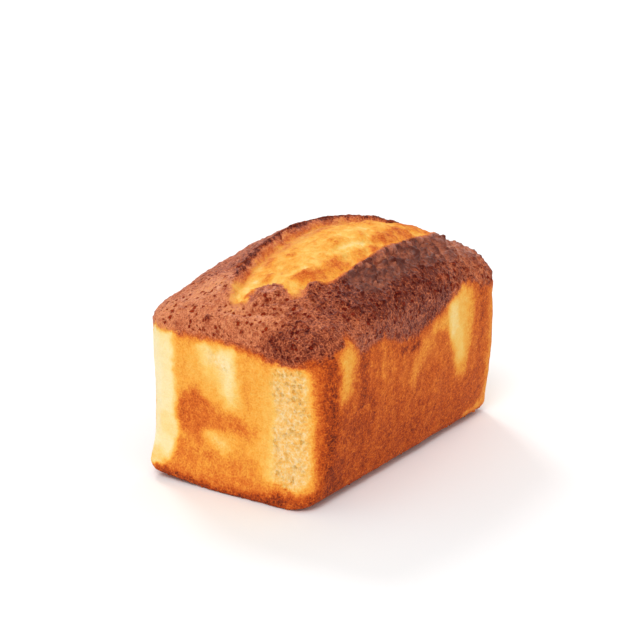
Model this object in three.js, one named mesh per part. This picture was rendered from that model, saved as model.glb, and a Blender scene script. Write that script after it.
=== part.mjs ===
// A small loaf of lemon pound cake, baked in its own tin and turned out whole.
// It is one solid: four nearly upright walls with a rounded foot, and a domed crust that has split
// along its middle. Units are millimetres, +Z is up, the length runs along X and the width along Y.
// The loaf stands on z = 0 with the middle of its box on the Z axis.
import * as THREE from "three";
import { mergeVertices } from "three/addons/utils/BufferGeometryUtils.js";

// ---- Driving dimensions -----------------------------------------------------------------------

// The body of the loaf. The rim is the edge where the walls meet the domed crust.
const RIM_LENGTH = 96.8;
const RIM_WIDTH = 62;
const RIM_HEIGHT = 43.6;
const RIM_CORNER = 11; // radius of an upright corner at the rim
const FOOT_CORNER = 4.5; // radius of an upright corner at the foot
const FOOT_ROUNDING = 4.5; // radius of the edge between the walls and the base

// How far each wall stands out (+) or in (-) at the foot, measured from straight down below the rim.
const FOOT_SPREAD = { left: 3.3, right: 1.4, front: -4.3, back: -3 };
// How far the left wall sinks in, halfway up.
const LEFT_WAIST = 2.6;

// The domed crust. Each power sets how flat the crown is along that half or across the width.
const CROWN_RISE = 20.5;
const CROWN_LEAN = 0.04; // share by which the crown rises more towards +X
const LEFT_FLATNESS = 1.45;
const RIGHT_FLATNESS = 1.9;
const WIDTH_FLATNESS = 1.75;
const SHOULDER = 0.5;

// The split. It is a long opening from START to END along X, between a near lip and a far lip.
const SPLIT_START = -43;
const SPLIT_END = 36;
const NEAR_LIP_Y = -17;
const FAR_LIP_Y = 11.5;
const START_TIP_Y = 3; // where the lips meet at the start
const END_TIP_Y = -12; // where the lips meet at the end
const NEAR_LIP_RISE = 0.8;
const FAR_LIP_RISE = 1.3;
const LIP_SPREAD = 4.5; // distance over which a lip's rise dies away in the crust
const NEAR_STEP = 1.5; // width of the step down from the near lip
const FAR_STEP = 2.6; // width of the step down from the far lip
const NEAR_DEPTH = 0.6; // how deep the crumb lies below the dome beside the near lip
const FAR_DEPTH = 3; // and beside the far lip
const SWELL = 0.6; // how far the crumb swells up in the middle of the split
const END_STRENGTH = 0.55; // what is left of the far lip and its depth towards the split's end

// Two soft oval mounds: a tongue of crust left in the split, and the thick end of the near lip.
const TONGUE = { x: -37.5, y: -6.5, halfLength: 4.5, halfWidth: 6.5, rise: 1 };
const LIP_END = { x: 29.5, y: -16.5, halfLength: 4.5, halfWidth: 4, rise: 1.1 };

// The faceting: steps along the length, across the width in three bands that meet at the lips, and
// up the walls. The steps of a band crowd towards its two edges, where the crust curves most.
const LENGTH_STEPS = 48;
const BAND_STEPS = [10, 14, 10]; // from the front edge to the near lip, the far lip and the back
const WIDTH_STEPS = BAND_STEPS.reduce((sum, count) => sum + count);
const ROUNDING_STEPS = 3;
const WALL_STEPS = 5;
const EDGE_CROWDING = 0.75; // 0 spaces the steps evenly
const LEAST_OPENING = 0.35; // share of the lips' opening that the middle band keeps past the split

const CRUST_COLOUR = 0xb4622f;

// ---- Outline of the loaf at any height --------------------------------------------------------

const { clamp, lerp, smoothstep } = THREE.MathUtils;

// The two ends, the two sides and the corner radius of the outline at a share of the rim's height.
function outlineAt(share, inset) {
  const foot = (1 - share) ** 2;
  const waist = LEFT_WAIST * 4 * share * (1 - share);
  return {
    left: -RIM_LENGTH / 2 + waist - FOOT_SPREAD.left * foot + inset,
    right: RIM_LENGTH / 2 + FOOT_SPREAD.right * foot - inset,
    front: -RIM_WIDTH / 2 - FOOT_SPREAD.front * foot + inset,
    back: RIM_WIDTH / 2 + FOOT_SPREAD.back * foot - inset,
    corner: lerp(FOOT_CORNER, RIM_CORNER, share) - inset / 2,
  };
}

// One side of a rounded rectangle from corner to corner, as t runs from -1 to 1. It holds half of
// the arc at each end. Gives the distance along the side and the distance in from it.
function sideWithHalfCorners(t, halfLength, corner) {
  const straight = halfLength - corner;
  const travelled = Math.abs(t) * (straight + (corner * Math.PI) / 4);
  const angle = Math.max(travelled - straight, 0) / corner;
  const along = angle > 0 ? straight + corner * Math.sin(angle) : travelled;
  return { along: along * Math.sign(t), inward: corner * (1 - Math.cos(angle)) };
}

// A point inside the outline. u and v run from -1 to 1 along X and Y, and the four sides are
// blended between them as a Coons patch, so that u or v of 1 or -1 lies exactly on the outline.
function pointInOutline(outline, u, v) {
  const { left, right, front, back, corner } = outline;
  const middleX = (left + right) / 2;
  const middleY = (front + back) / 2;
  const lengthSide = (t) => sideWithHalfCorners(t, (right - left) / 2, corner);
  const widthSide = (t) => sideWithHalfCorners(t, (back - front) / 2, corner);
  const along = lengthSide(u);
  const across = widthSide(v);
  const tip = widthSide(1);
  const end = lengthSide(1);
  const x = middleX + along.along + u * ((right - left) / 2 - across.inward - end.along);
  const y = middleY + across.along + v * ((back - front) / 2 - along.inward - tip.along);
  return new THREE.Vector2(x, y);
}

// ---- The crust on top -------------------------------------------------------------------------

// Height of the dome above the rim, zero all round the rim.
function crownHeight(u, v) {
  const flatness = u < 0 ? LEFT_FLATNESS : RIGHT_FLATNESS;
  const lengthwise = (1 - Math.abs(u) ** flatness) ** SHOULDER;
  const crosswise = (1 - Math.abs(v) ** WIDTH_FLATNESS) ** SHOULDER;
  return CROWN_RISE * lengthwise * crosswise * (1 + CROWN_LEAN * u);
}

// The two lips of the split at a place along the loaf. `along` runs from -1 at its start to 1 at its
// end, where the lips meet, unless `leastOpening` keeps that share of their opening there.
function lipsAt(x, leastOpening = 0) {
  const along = (2 * x - SPLIT_START - SPLIT_END) / (SPLIT_END - SPLIT_START);
  const reach = Math.min(Math.abs(along), 1);
  const tipY = lerp(START_TIP_Y, END_TIP_Y, clamp((along + 1) / 2, 0, 1));
  const nearOpening = Math.max(Math.sqrt(1 - reach ** 6), leastOpening);
  const farOpening = Math.max((1 - reach ** 3) ** 0.7, leastOpening);
  return {
    along,
    near: lerp(tipY, NEAR_LIP_Y, nearOpening),
    far: lerp(tipY, FAR_LIP_Y, farOpening),
  };
}

// How far the split raises or lowers the dome at (x, y): the lips stand up from the crust, and
// between them the crumb swells in the middle and sinks towards each lip.
function splitRelief(x, y) {
  const { along, near, far } = lipsAt(x);
  if (Math.abs(along) >= 1) return 0;
  const strength = Math.sqrt(1 - along ** 8);
  const farStrength = lerp(1, END_STRENGTH, smoothstep(along, -0.1, 0.7));
  const across = 2 * clamp((y - near) / Math.max(far - near, 1), 0, 1) - 1;
  const insideNear = smoothstep(y - near, 0, NEAR_STEP);
  const insideFar = smoothstep(far - y, 0, FAR_STEP);
  const swell = SWELL * (1 - across ** 2);
  const nearSink = NEAR_DEPTH * (1 - smoothstep(across, -1, -0.4));
  const farSink = FAR_DEPTH * farStrength * smoothstep(across, -0.4, 0.85);
  const crumb = (swell - nearSink - farSink) * insideNear * insideFar;
  const nearLip = y < near ? Math.exp((y - near) / LIP_SPREAD) : 1 - insideNear;
  const farLip = y > far ? Math.exp((far - y) / LIP_SPREAD) : 1 - insideFar;
  return (crumb + NEAR_LIP_RISE * nearLip + FAR_LIP_RISE * farStrength * farLip) * strength;
}

// Height of an oval mound at (x, y): full near its middle, and nothing from its edge outwards.
function moundHeight(mound, x, y) {
  const reach = Math.hypot((x - mound.x) / mound.halfLength, (y - mound.y) / mound.halfWidth);
  return mound.rise * (1 - smoothstep(reach, 0.3, 1));
}

// Everything that stands above or below the plain dome at (x, y).
function crustRelief(x, y) {
  return splitRelief(x, y) + moundHeight(TONGUE, x, y) + moundHeight(LIP_END, x, y);
}

// ---- The closed surface -----------------------------------------------------------------------

// Spaces even steps so that they crowd towards both ends of the span from -1 to 1.
function crowded(t) {
  return lerp(t, Math.sin((t * Math.PI) / 2), EDGE_CROWDING);
}

// The outline parameter v of a place y on the rim, for the straight part of an end wall.
function widthParameter(y) {
  const travel = RIM_WIDTH / 2 - RIM_CORNER + (RIM_CORNER * Math.PI) / 4;
  const cornerGap = RIM_CORNER * (1 - Math.SQRT1_2);
  return y / (travel + cornerGap);
}

// The outline parameter v of a step across the width, counted from the front edge, at a place u
// along the loaf. The bands of steps meet at the two lips, so that facet edges run along them.
function stepAcross(step, u) {
  const lips = lipsAt((u * RIM_LENGTH) / 2, LEAST_OPENING);
  const edges = [-1, widthParameter(lips.near), widthParameter(lips.far), 1];
  let band = 0;
  let stepInBand = step;
  while (stepInBand > BAND_STEPS[band]) {
    stepInBand -= BAND_STEPS[band];
    band += 1;
  }
  const share = (crowded((2 * stepInBand) / BAND_STEPS[band] - 1) + 1) / 2;
  return lerp(edges[band], edges[band + 1], share);
}

// Height above the base and inset of the outline for a row of the wall. The lowest rows follow the
// rounded edge of the base, and the others divide the wall evenly up to the rim.
function wallRow(row) {
  if (row <= ROUNDING_STEPS) {
    const angle = ((row / ROUNDING_STEPS) * Math.PI) / 2;
    return {
      height: FOOT_ROUNDING * (1 - Math.cos(angle)),
      inset: FOOT_ROUNDING * (1 - Math.sin(angle)),
    };
  }
  const height = lerp(FOOT_ROUNDING, RIM_HEIGHT, (row - ROUNDING_STEPS) / WALL_STEPS);
  return { height, inset: 0 };
}

// Moves a point of the unit cube to its place on the loaf: the cube's top becomes the split dome,
// its bottom the flat base and its four sides the walls.
function placeOnLoaf(cubePoint) {
  const topRow = ROUNDING_STEPS + WALL_STEPS;
  const row = Math.round((cubePoint.z + 0.5) * topRow);
  const u = crowded(cubePoint.x * 2);
  const v = stepAcross(Math.round((cubePoint.y + 0.5) * WIDTH_STEPS), u);
  const { height, inset } = wallRow(row);
  const { x, y } = pointInOutline(outlineAt(height / RIM_HEIGHT, inset), u, v);
  const crown = row === topRow ? crownHeight(u, v) : 0;
  const relief = crown > 0 ? crustRelief(x, y) : 0;
  return cubePoint.set(x, y, height + crown + relief);
}

function makeLoafGeometry() {
  const wallSteps = ROUNDING_STEPS + WALL_STEPS;
  const cube = new THREE.BoxGeometry(1, 1, 1, LENGTH_STEPS, WIDTH_STEPS, wallSteps);
  const places = cube.getAttribute("position");
  const point = new THREE.Vector3();
  for (let index = 0; index < places.count; index += 1) {
    placeOnLoaf(point.fromBufferAttribute(places, index));
    places.setXYZ(index, point.x, point.y, point.z);
  }
  cube.deleteAttribute("normal");
  cube.deleteAttribute("uv");
  const loaf = mergeVertices(cube, 1e-3);
  loaf.computeBoundingBox();
  const middle = loaf.boundingBox.getCenter(new THREE.Vector3());
  loaf.translate(-middle.x, -middle.y, 0);
  loaf.computeVertexNormals();
  return loaf;
}

const crustMaterial = new THREE.MeshStandardMaterial({
  color: CRUST_COLOUR,
  roughness: 0.75,
  metalness: 0,
});

const loaf = new THREE.Mesh(makeLoafGeometry(), crustMaterial);
loaf.name = "cake_loaf";

const cake = new THREE.Group();
cake.add(loaf);

export default cake;
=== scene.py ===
"""A small lemon pound cake loaf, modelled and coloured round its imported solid.

Two closed pieces make the loaf. The crumb body is the cake itself: walls browned by the tin, a flat
base and the yellow crumb that shows in the split. The top crust is a skin of its own, with torn lips
round the split, that lies on the body and thins out just below the rim. A third piece holds the
small crumbs along the foot. Shapes are worked out in millimetres and put into meshes in metres.
"""

import math
from collections import namedtuple
from types import SimpleNamespace

import bpy
import numpy as np
from bpy.props import FloatProperty, FloatVectorProperty, IntProperty, PointerProperty
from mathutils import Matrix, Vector


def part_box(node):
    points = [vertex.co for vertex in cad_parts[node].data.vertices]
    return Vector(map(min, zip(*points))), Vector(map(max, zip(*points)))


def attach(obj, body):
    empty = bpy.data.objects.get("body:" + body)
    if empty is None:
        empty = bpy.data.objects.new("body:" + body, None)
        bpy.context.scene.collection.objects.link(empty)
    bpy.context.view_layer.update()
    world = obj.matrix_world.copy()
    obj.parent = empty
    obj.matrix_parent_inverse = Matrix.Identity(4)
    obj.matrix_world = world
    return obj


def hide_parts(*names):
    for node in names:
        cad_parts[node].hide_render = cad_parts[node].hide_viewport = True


bl_info = {
    "name": "Lemon pound cake loaf",
    "version": (1, 0, 0),
    "blender": (4, 5, 0),
    "location": "View3D > Sidebar > Cake",
    "description": "Builds a small split-topped pound cake loaf and the studio it stands in",
    "category": "Add Mesh",
}

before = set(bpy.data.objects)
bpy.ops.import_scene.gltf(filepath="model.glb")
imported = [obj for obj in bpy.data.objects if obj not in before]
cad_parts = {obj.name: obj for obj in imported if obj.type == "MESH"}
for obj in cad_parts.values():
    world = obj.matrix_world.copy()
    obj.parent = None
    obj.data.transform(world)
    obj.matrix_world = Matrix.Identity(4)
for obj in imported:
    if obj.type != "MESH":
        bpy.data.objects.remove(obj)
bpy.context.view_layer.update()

NODE = "cake_loaf"
BODY = "root"
MM = 0.001  # one millimetre in metres


def scene_linear(red, green, blue):
    """A colour given as three display values from 0 to 255, as the scene-linear colour that the
    shaders use: each share is divided by 12.92 if small, and else raised to the power 2.4."""
    shares = np.array([red, green, blue]) / 255
    linear = np.where(shares <= 0.04045, shares / 12.92, ((shares + 0.055) / 1.055) ** 2.4)
    return tuple(float(value) for value in linear)


# ---- What a user would change ------------------------------------------------------------------


def length(name, description, millimetres):
    """A size in metres whose default is given in millimetres."""
    return FloatProperty(name=name, description=description, default=millimetres * MM, unit="LENGTH")


def tone(name, description, *display):
    """A colour whose default is given as display values from 0 to 255."""
    return FloatVectorProperty(
        name=name, description=description, default=scene_linear(*display), subtype="COLOR", size=3
    )


def number(name, description, default):
    """A plain number without a unit."""
    return FloatProperty(name=name, description=description, default=default)


class LoafSizes(bpy.types.PropertyGroup):
    """Driving sizes of the loaf. Most are those of its solid. The rounding and tuck of the foot, the
    places of the lips and the far depth are set a little closer to the real loaf here."""

    rim_length: length("Rim length", "Length of the loaf where walls meet crust", 96.8)
    rim_width: length("Rim width", "Width of the loaf where walls meet crust", 62)
    rim_height: length("Rim height", "Height of the walls", 43.6)
    rim_corner: length("Rim corner", "Radius of an upright corner at the rim", 11)
    foot_corner: length("Foot corner", "Radius of an upright corner at the foot", 4.5)
    foot_rounding: length("Foot rounding", "Radius of the edge round the base", 3.8)
    left_spread: length("Left spread", "How far the left wall stands out at the foot", 3.3)
    right_spread: length("Right spread", "How far the right wall stands out at the foot", 1.4)
    front_tuck: length("Front tuck", "How far the front wall stands in at the foot", 5.3)
    back_tuck: length("Back tuck", "How far the back wall stands in at the foot", 3)
    left_waist: length("Left waist", "How far the left wall sinks in a third of the way up", 2.6)
    crown_rise: length("Crown rise", "Height of the dome above the rim", 20.5)
    crown_lean: number("Crown lean", "Share by which the dome rises more to the right", 0.04)
    left_flatness: number("Left flatness", "Power of the dome's fall to the left", 1.45)
    right_flatness: number("Right flatness", "Power of the dome's fall to the right", 1.9)
    width_flatness: number("Width flatness", "Power of the dome's fall across the loaf", 1.75)
    split_start: length("Split start", "Where along the loaf the split starts", -43)
    split_end: length("Split end", "Where along the loaf the split ends", 36)
    near_lip: length("Near lip", "Place of the near lip across the loaf", -18)
    far_lip: length("Far lip", "Place of the far lip across the loaf", 12.2)
    start_tip: length("Start tip", "Where across the loaf the lips meet at the start", 3)
    end_tip: length("End tip", "Where across the loaf the lips meet at the end", -12)
    near_rise: length("Near lip rise", "How far the near lip stands up", 0.8)
    far_rise: length("Far lip rise", "How far the far lip stands up", 1.3)
    lip_spread: length("Lip spread", "Distance over which a lip's rise dies away", 4.5)
    near_depth: length("Near depth", "How deep the crumb lies beside the near lip", 0.6)
    far_depth: length("Far depth", "How deep the crumb lies beside the far lip", 2.4)
    swell: length("Swell", "How far the crumb swells up in the middle of the split", 0.6)
    crust_depth: length("Crust depth", "Thickness of the crust at the torn lips", 2.4)
    skirt: length("Skirt", "How far the crust reaches down the walls", 7)


class BakingTones(bpy.types.PropertyGroup):
    """Colours of the cake from raw to dark, for the walls and for the top crust, and a grey that is
    mixed in as painted sheen.
    """

    cream: tone("Cream", "Palest wall, hardly browned", 255, 241, 198)
    straw: tone("Straw", "Pale wall", 253, 224, 154)
    gold: tone("Gold", "Golden wall and split crumb", 251, 200, 100)
    amber: tone("Amber", "Orange gold wall", 247, 168, 62)
    orange: tone("Orange", "Well coloured wall", 226, 121, 42)
    copper: tone("Copper", "Brown orange wall", 200, 87, 24)
    russet: tone("Russet", "Red brown wall", 168, 66, 21)
    umber: tone("Umber", "Darkest wall", 98, 36, 18)
    crust_tan: tone("Tan crust", "Palest top crust", 237, 150, 101)
    crust_brown: tone("Brown crust", "Middling top crust", 199, 103, 62)
    crust_dark: tone("Dark crust", "Dark top crust", 147, 65, 36)
    crust_black: tone("Darkest crust", "Burnt edges of the top crust", 104, 28, 5)
    # Painted sheen: this grey is mixed into the colour where the top crust is smooth and glossy.
    painted_sheen_grey: tone("Greyed crust", "Mixed in where the top crust is smooth and glossy", 122, 92, 80)


class StudioSettings(bpy.types.PropertyGroup):
    """Camera and lights."""

    azimuth: number("Azimuth", "Camera direction round the loaf, in degrees", -56.68)
    elevation: number("Elevation", "Camera height above the horizon, in degrees", 17.1)
    distance: length("Distance", "From the camera to the point it aims at", 534.8)
    aim: FloatVectorProperty(
        name="Aim", description="Point that the camera looks at", subtype="TRANSLATION",
        default=(-0.0011, 0.00223, 0.0369),
    )
    lens: number("Lens", "Focal length in millimetres", 105)
    daylight: number("Daylight", "Strength of the even light", 0.68)
    key_light: number("Key light", "Strength of the soft key light", 1.25)
    back_light: number("Back light", "Strength of the light behind", 0.8)
    side_light: number("Side light", "Strength of the light at the right", 0.22)
    seed: IntProperty(name="Seed", description="Seed of every random pattern", default=7)


def in_millimetres(group):
    """The values of a property group as plain numbers, with lengths in millimetres."""
    values = {}
    for name, prop in group.bl_rna.properties.items():
        if prop.type == "FLOAT" and not prop.is_array:
            values[name] = getattr(group, name) / (MM if prop.unit == "LENGTH" else 1)
    return SimpleNamespace(**values)


# ---- Random patterns ----------------------------------------------------------------------------


def hashed(cells, seed):
    """A random share from 0 to 1 for each row of three whole numbers. The numbers and the seed are
    multiplied by large odd constants, combined bit by bit and mixed by shifts."""
    parts = cells.astype(np.int64).astype(np.uint32)
    mixed = parts[..., 0] * np.uint32(73856093)
    mixed ^= parts[..., 1] * np.uint32(19349663)
    mixed ^= parts[..., 2] * np.uint32(83492791)
    mixed ^= np.uint32((seed * 2654435761 + 12345) % 2**32)
    for shift, factor in ((15, 0x2C1B3C6D), (12, 0x297A2D39)):
        mixed ^= mixed >> np.uint32(shift)
        mixed *= np.uint32(factor)
    mixed ^= mixed >> np.uint32(15)
    return mixed / np.float64(2**32)


GRAIN_GAIN = 1.4  # brings the noise, which rarely reaches far, up to about -1 to 1
KNOB_REACH = 0.75  # radius of a packed lump as a share of the spacing


def grain(points, size, seed):
    """Smooth noise from about -1 to 1 with lumps of the given size. Each corner of a cubic lattice
    has a random slope, and the slopes are blended with the weight 6t^5 - 15t^4 + 10t^3."""
    scaled = points / size
    corner = np.floor(scaled)
    offset = scaled - corner
    weight = offset**3 * (offset * (offset * 6 - 15) + 10)
    total = np.zeros(points.shape[:-1])
    for step in np.ndindex(2, 2, 2):
        step = np.array(step)
        cell = corner + step
        slopes = np.stack([hashed(cell, seed + 101 * axis) for axis in (1, 2, 3)], -1) * 2 - 1
        share = np.prod(np.where(step, weight, 1 - weight), -1)
        total += share * np.sum(slopes * (offset - step), -1)
    return total * GRAIN_GAIN


def fractal(points, size, octaves, seed):
    """Noise summed over octaves: each one has half the size and half the height of the last."""
    return sum(grain(points, size / 2**k, seed + 13 * k) / 2**k for k in range(octaves))


def nearest_seed(points, spacing, seed):
    """One random point lies in each cube of a lattice. Gives the distance to the nearest of them and
    that point's own random share."""
    scaled = points / spacing
    home = np.floor(scaled)
    best = np.full(points.shape[:-1], 9.0)
    share = np.zeros(points.shape[:-1])
    for step in np.ndindex(3, 3, 3):
        cell = home + np.array(step) - 1
        place = cell + np.stack([hashed(cell, seed + 37 * axis) for axis in (1, 2, 3)], -1)
        distance = np.linalg.norm(place - scaled, axis=-1)
        closer = distance < best
        best = np.where(closer, distance, best)
        share = np.where(closer, hashed(cell, seed + 977), share)
    return best * spacing, share


def smooth(low, high, value):
    """0 below low and 1 above high, with the S curve 3t^2 - 2t^3 between."""
    t = np.clip((value - low) / (high - low), 0, 1)
    return t * t * (3 - 2 * t)


def blend(start, end, share):
    """start where share is 0, end where it is 1, and in proportion between."""
    return start + (end - start) * share


# A kind of scattered pits: the spacing and mean radius in millimetres, the share of places that hold
# one, and the depth that it gives the surface.
PitKind = namedtuple("PitKind", "spacing radius fullness depth")


def pits(points, kind, seed, wide=1.0):
    """Bowls from 0 to 1 of scattered round pits. A bowl is 1 - (distance / radius)^2 about the
    nearest random point. Its radius is 0.6 to 1.4 times that of the kind, times wide."""
    distance, share = nearest_seed(points, kind.spacing, seed)
    radius = kind.radius * wide * (0.6 + 0.8 * (share * 7.31 % 1))
    return np.where(share < kind.fullness, np.clip(1 - (distance / radius) ** 2, 0, 1), 0)


def knobs(points, spacing, seed):
    """Rounded lumps from 0 to 1 packed side by side, highest at each random point."""
    distance, _ = nearest_seed(points, spacing, seed)
    return np.clip(1 - (distance / (KNOB_REACH * spacing)) ** 2, 0, 1)


# ---- Form of the loaf ---------------------------------------------------------------------------


def outline_at(loaf, share, inset=0.0, front_inset=None):
    """Sides and corner radius of the loaf's outline at a share of the rim's height. Towards the foot
    each side moves by its spread times (1 - share)^2, and the left one also sinks in by its waist
    times 6.75 share (1 - share)^2, which is 1 at a third."""
    foot = (1 - share) ** 2
    waist = loaf.left_waist * 6.75 * share * (1 - share) ** 2
    front_inset = inset if front_inset is None else front_inset
    return SimpleNamespace(
        left=-loaf.rim_length / 2 + waist - loaf.left_spread * foot + inset,
        right=loaf.rim_length / 2 + loaf.right_spread * foot - inset,
        front=-loaf.rim_width / 2 + loaf.front_tuck * foot + front_inset,
        back=loaf.rim_width / 2 - loaf.back_tuck * foot - inset,
        corner=blend(loaf.foot_corner, loaf.rim_corner, share) - inset / 2,
    )


def side_with_half_corners(t, half_length, corner):
    """Distance along and in from one side of a rounded rectangle, as t runs from -1 to 1 over the
    side and half of the arc at each end."""
    straight = half_length - corner
    travelled = np.abs(t) * (straight + corner * math.pi / 4)
    angle = np.maximum(travelled - straight, 0) / corner
    along = np.where(angle > 0, straight + corner * np.sin(angle), travelled)
    return along * np.sign(t), corner * (1 - np.cos(angle))


def point_in_outline(outline, u, v):
    """X and Y of a point whose u and v run from -1 to 1 along the loaf and across it. The four sides
    are blended between them as a Coons patch, so u or v of 1 or -1 lies on the outline."""
    half_x = (outline.right - outline.left) / 2
    half_y = (outline.back - outline.front) / 2
    along_x, in_y = side_with_half_corners(u, half_x, outline.corner)
    along_y, in_x = side_with_half_corners(v, half_y, outline.corner)
    end_x, _ = side_with_half_corners(1.0, half_x, outline.corner)
    end_y, _ = side_with_half_corners(1.0, half_y, outline.corner)
    x = (outline.left + outline.right) / 2 + along_x + u * (half_x - in_x - end_x)
    y = (outline.front + outline.back) / 2 + along_y + v * (half_y - in_y - end_y)
    return x, y


def crown_height(loaf, u, v):
    """Height of the dome above the rim: rise times the root of (1 - |u|^flatness) lengthwise and of
    (1 - |v|^flatness) across."""
    flatness = np.where(u < 0, loaf.left_flatness, loaf.right_flatness)
    lengthwise = np.sqrt(np.clip(1 - np.abs(u) ** flatness, 0, 1))
    crosswise = np.sqrt(np.clip(1 - np.abs(v) ** loaf.width_flatness, 0, 1))
    return loaf.crown_rise * lengthwise * crosswise * (1 + loaf.crown_lean * u)


LIP_HOOK = (-30.6, 2.3, 3.2)  # place, half length and reach of the hook that starts the near lip


def lips_at(loaf, x):
    """Place along the split from -1 to 1, and the near and far lips there. Each lip leaves the line
    between the two tips as a root of 1 - reach to a power, and the near one has a small hook."""
    along = (2 * x - loaf.split_start - loaf.split_end) / (loaf.split_end - loaf.split_start)
    reach = np.clip(np.abs(along), 0, 1)
    tip = blend(loaf.start_tip, loaf.end_tip, np.clip((along + 1) / 2, 0, 1))
    near = blend(tip, loaf.near_lip, np.sqrt(1 - reach**6))
    near += LIP_HOOK[2] * np.exp(-(((x - LIP_HOOK[0]) / LIP_HOOK[1]) ** 2)) * (reach < 1)
    far = blend(tip, loaf.far_lip, (1 - reach**3) ** 0.7)
    return along, near, far


def lip_softness(x):
    """How far the near and far lips fade into the crumb instead of standing up as torn edges, from
    0 to 1. Both are soft where the split starts, and the far one softens again at its end."""
    near = 1 - smooth(-33.5, -29.5, x)
    far = 1 - smooth(-38, -32, x) + 0.7 * smooth(33, 38, x)
    return near, far


Mound = namedtuple("Mound", "x y half_length half_width rise")
MOUNDS = (
    Mound(-37.3, -5.5, 4.0, 7.0, 1.1),  # tongue of crust left standing in the start of the split
    Mound(31.0, -16.0, 7.0, 5.0, 0.6),  # thick end of the near lip
    Mound(-29.8, -14.6, 3.4, 2.6, 0.9),  # and its start
    Mound(31.0, -4.0, 8.0, 6.0, -0.9),  # dip where the split ends
    Mound(43.5, -20.0, 7.0, 8.0, 1.2),  # full right shoulder
)


def mounds_height(x, y):
    """Height of the soft oval mounds, full near the middle of each and nothing outside it."""
    total = 0
    for mound in MOUNDS:
        reach = np.hypot((x - mound.x) / mound.half_length, (y - mound.y) / mound.half_width)
        total = total + mound.rise * (1 - smooth(0.3, 1, reach))
    return total


def far_strength(along):
    """How strongly the far lip stands up, from 1 at first to 0.85 towards the split's end."""
    return blend(1, 0.85, smooth(-0.1, 0.7, along))


def top_relief(loaf, x, y):
    """Height above the plain dome. The crumb between the lips swells in the middle and sinks beside
    them, and ends in a slope up to each lip. Beyond a lip its rise dies away as
    e^(-distance / spread)."""
    along, near, far = lips_at(loaf, x)
    strength = np.sqrt(np.clip(1 - along**8, 0, 1))
    standing = far_strength(along)
    across = 2 * np.clip((y - near) / np.maximum(far - near, 1), 0, 1) - 1
    inside_near = smooth(0, 1.8, y - near)
    inside_far = smooth(0, 3.2, far - y)
    swell = loaf.swell * (1 - across**2)
    near_sink = loaf.near_depth * (1 - smooth(-1, -0.4, across))
    far_sink = loaf.far_depth * standing * smooth(-0.4, 0.75, across)
    crumb = (swell - near_sink - far_sink) * inside_near * inside_far
    near_lip = np.where(y < near, np.exp(-np.abs(near - y) / loaf.lip_spread), 1 - inside_near)
    far_lip = np.where(y > far, np.exp(-np.abs(y - far) / loaf.lip_spread), 1 - inside_far)
    lips = loaf.near_rise * near_lip + loaf.far_rise * standing * far_lip
    return (crumb + lips) * strength + mounds_height(x, y)


# ---- Where the loaf browned ---------------------------------------------------------------------

# A soft stroke of browning on a face, from one place to another with a half width at each end, all
# in millimetres. bake is the browning inside it, from 0 for raw cream to 1 for nearly black, and its
# edge fades over soft millimetres to each side.
Stroke = namedtuple("Stroke", "start width end end_width bake strength soft")


def strokes(*rows):
    """Strokes from rows of their values, in the order in which they are laid on."""
    return tuple(Stroke(*row) for row in rows)


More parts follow.
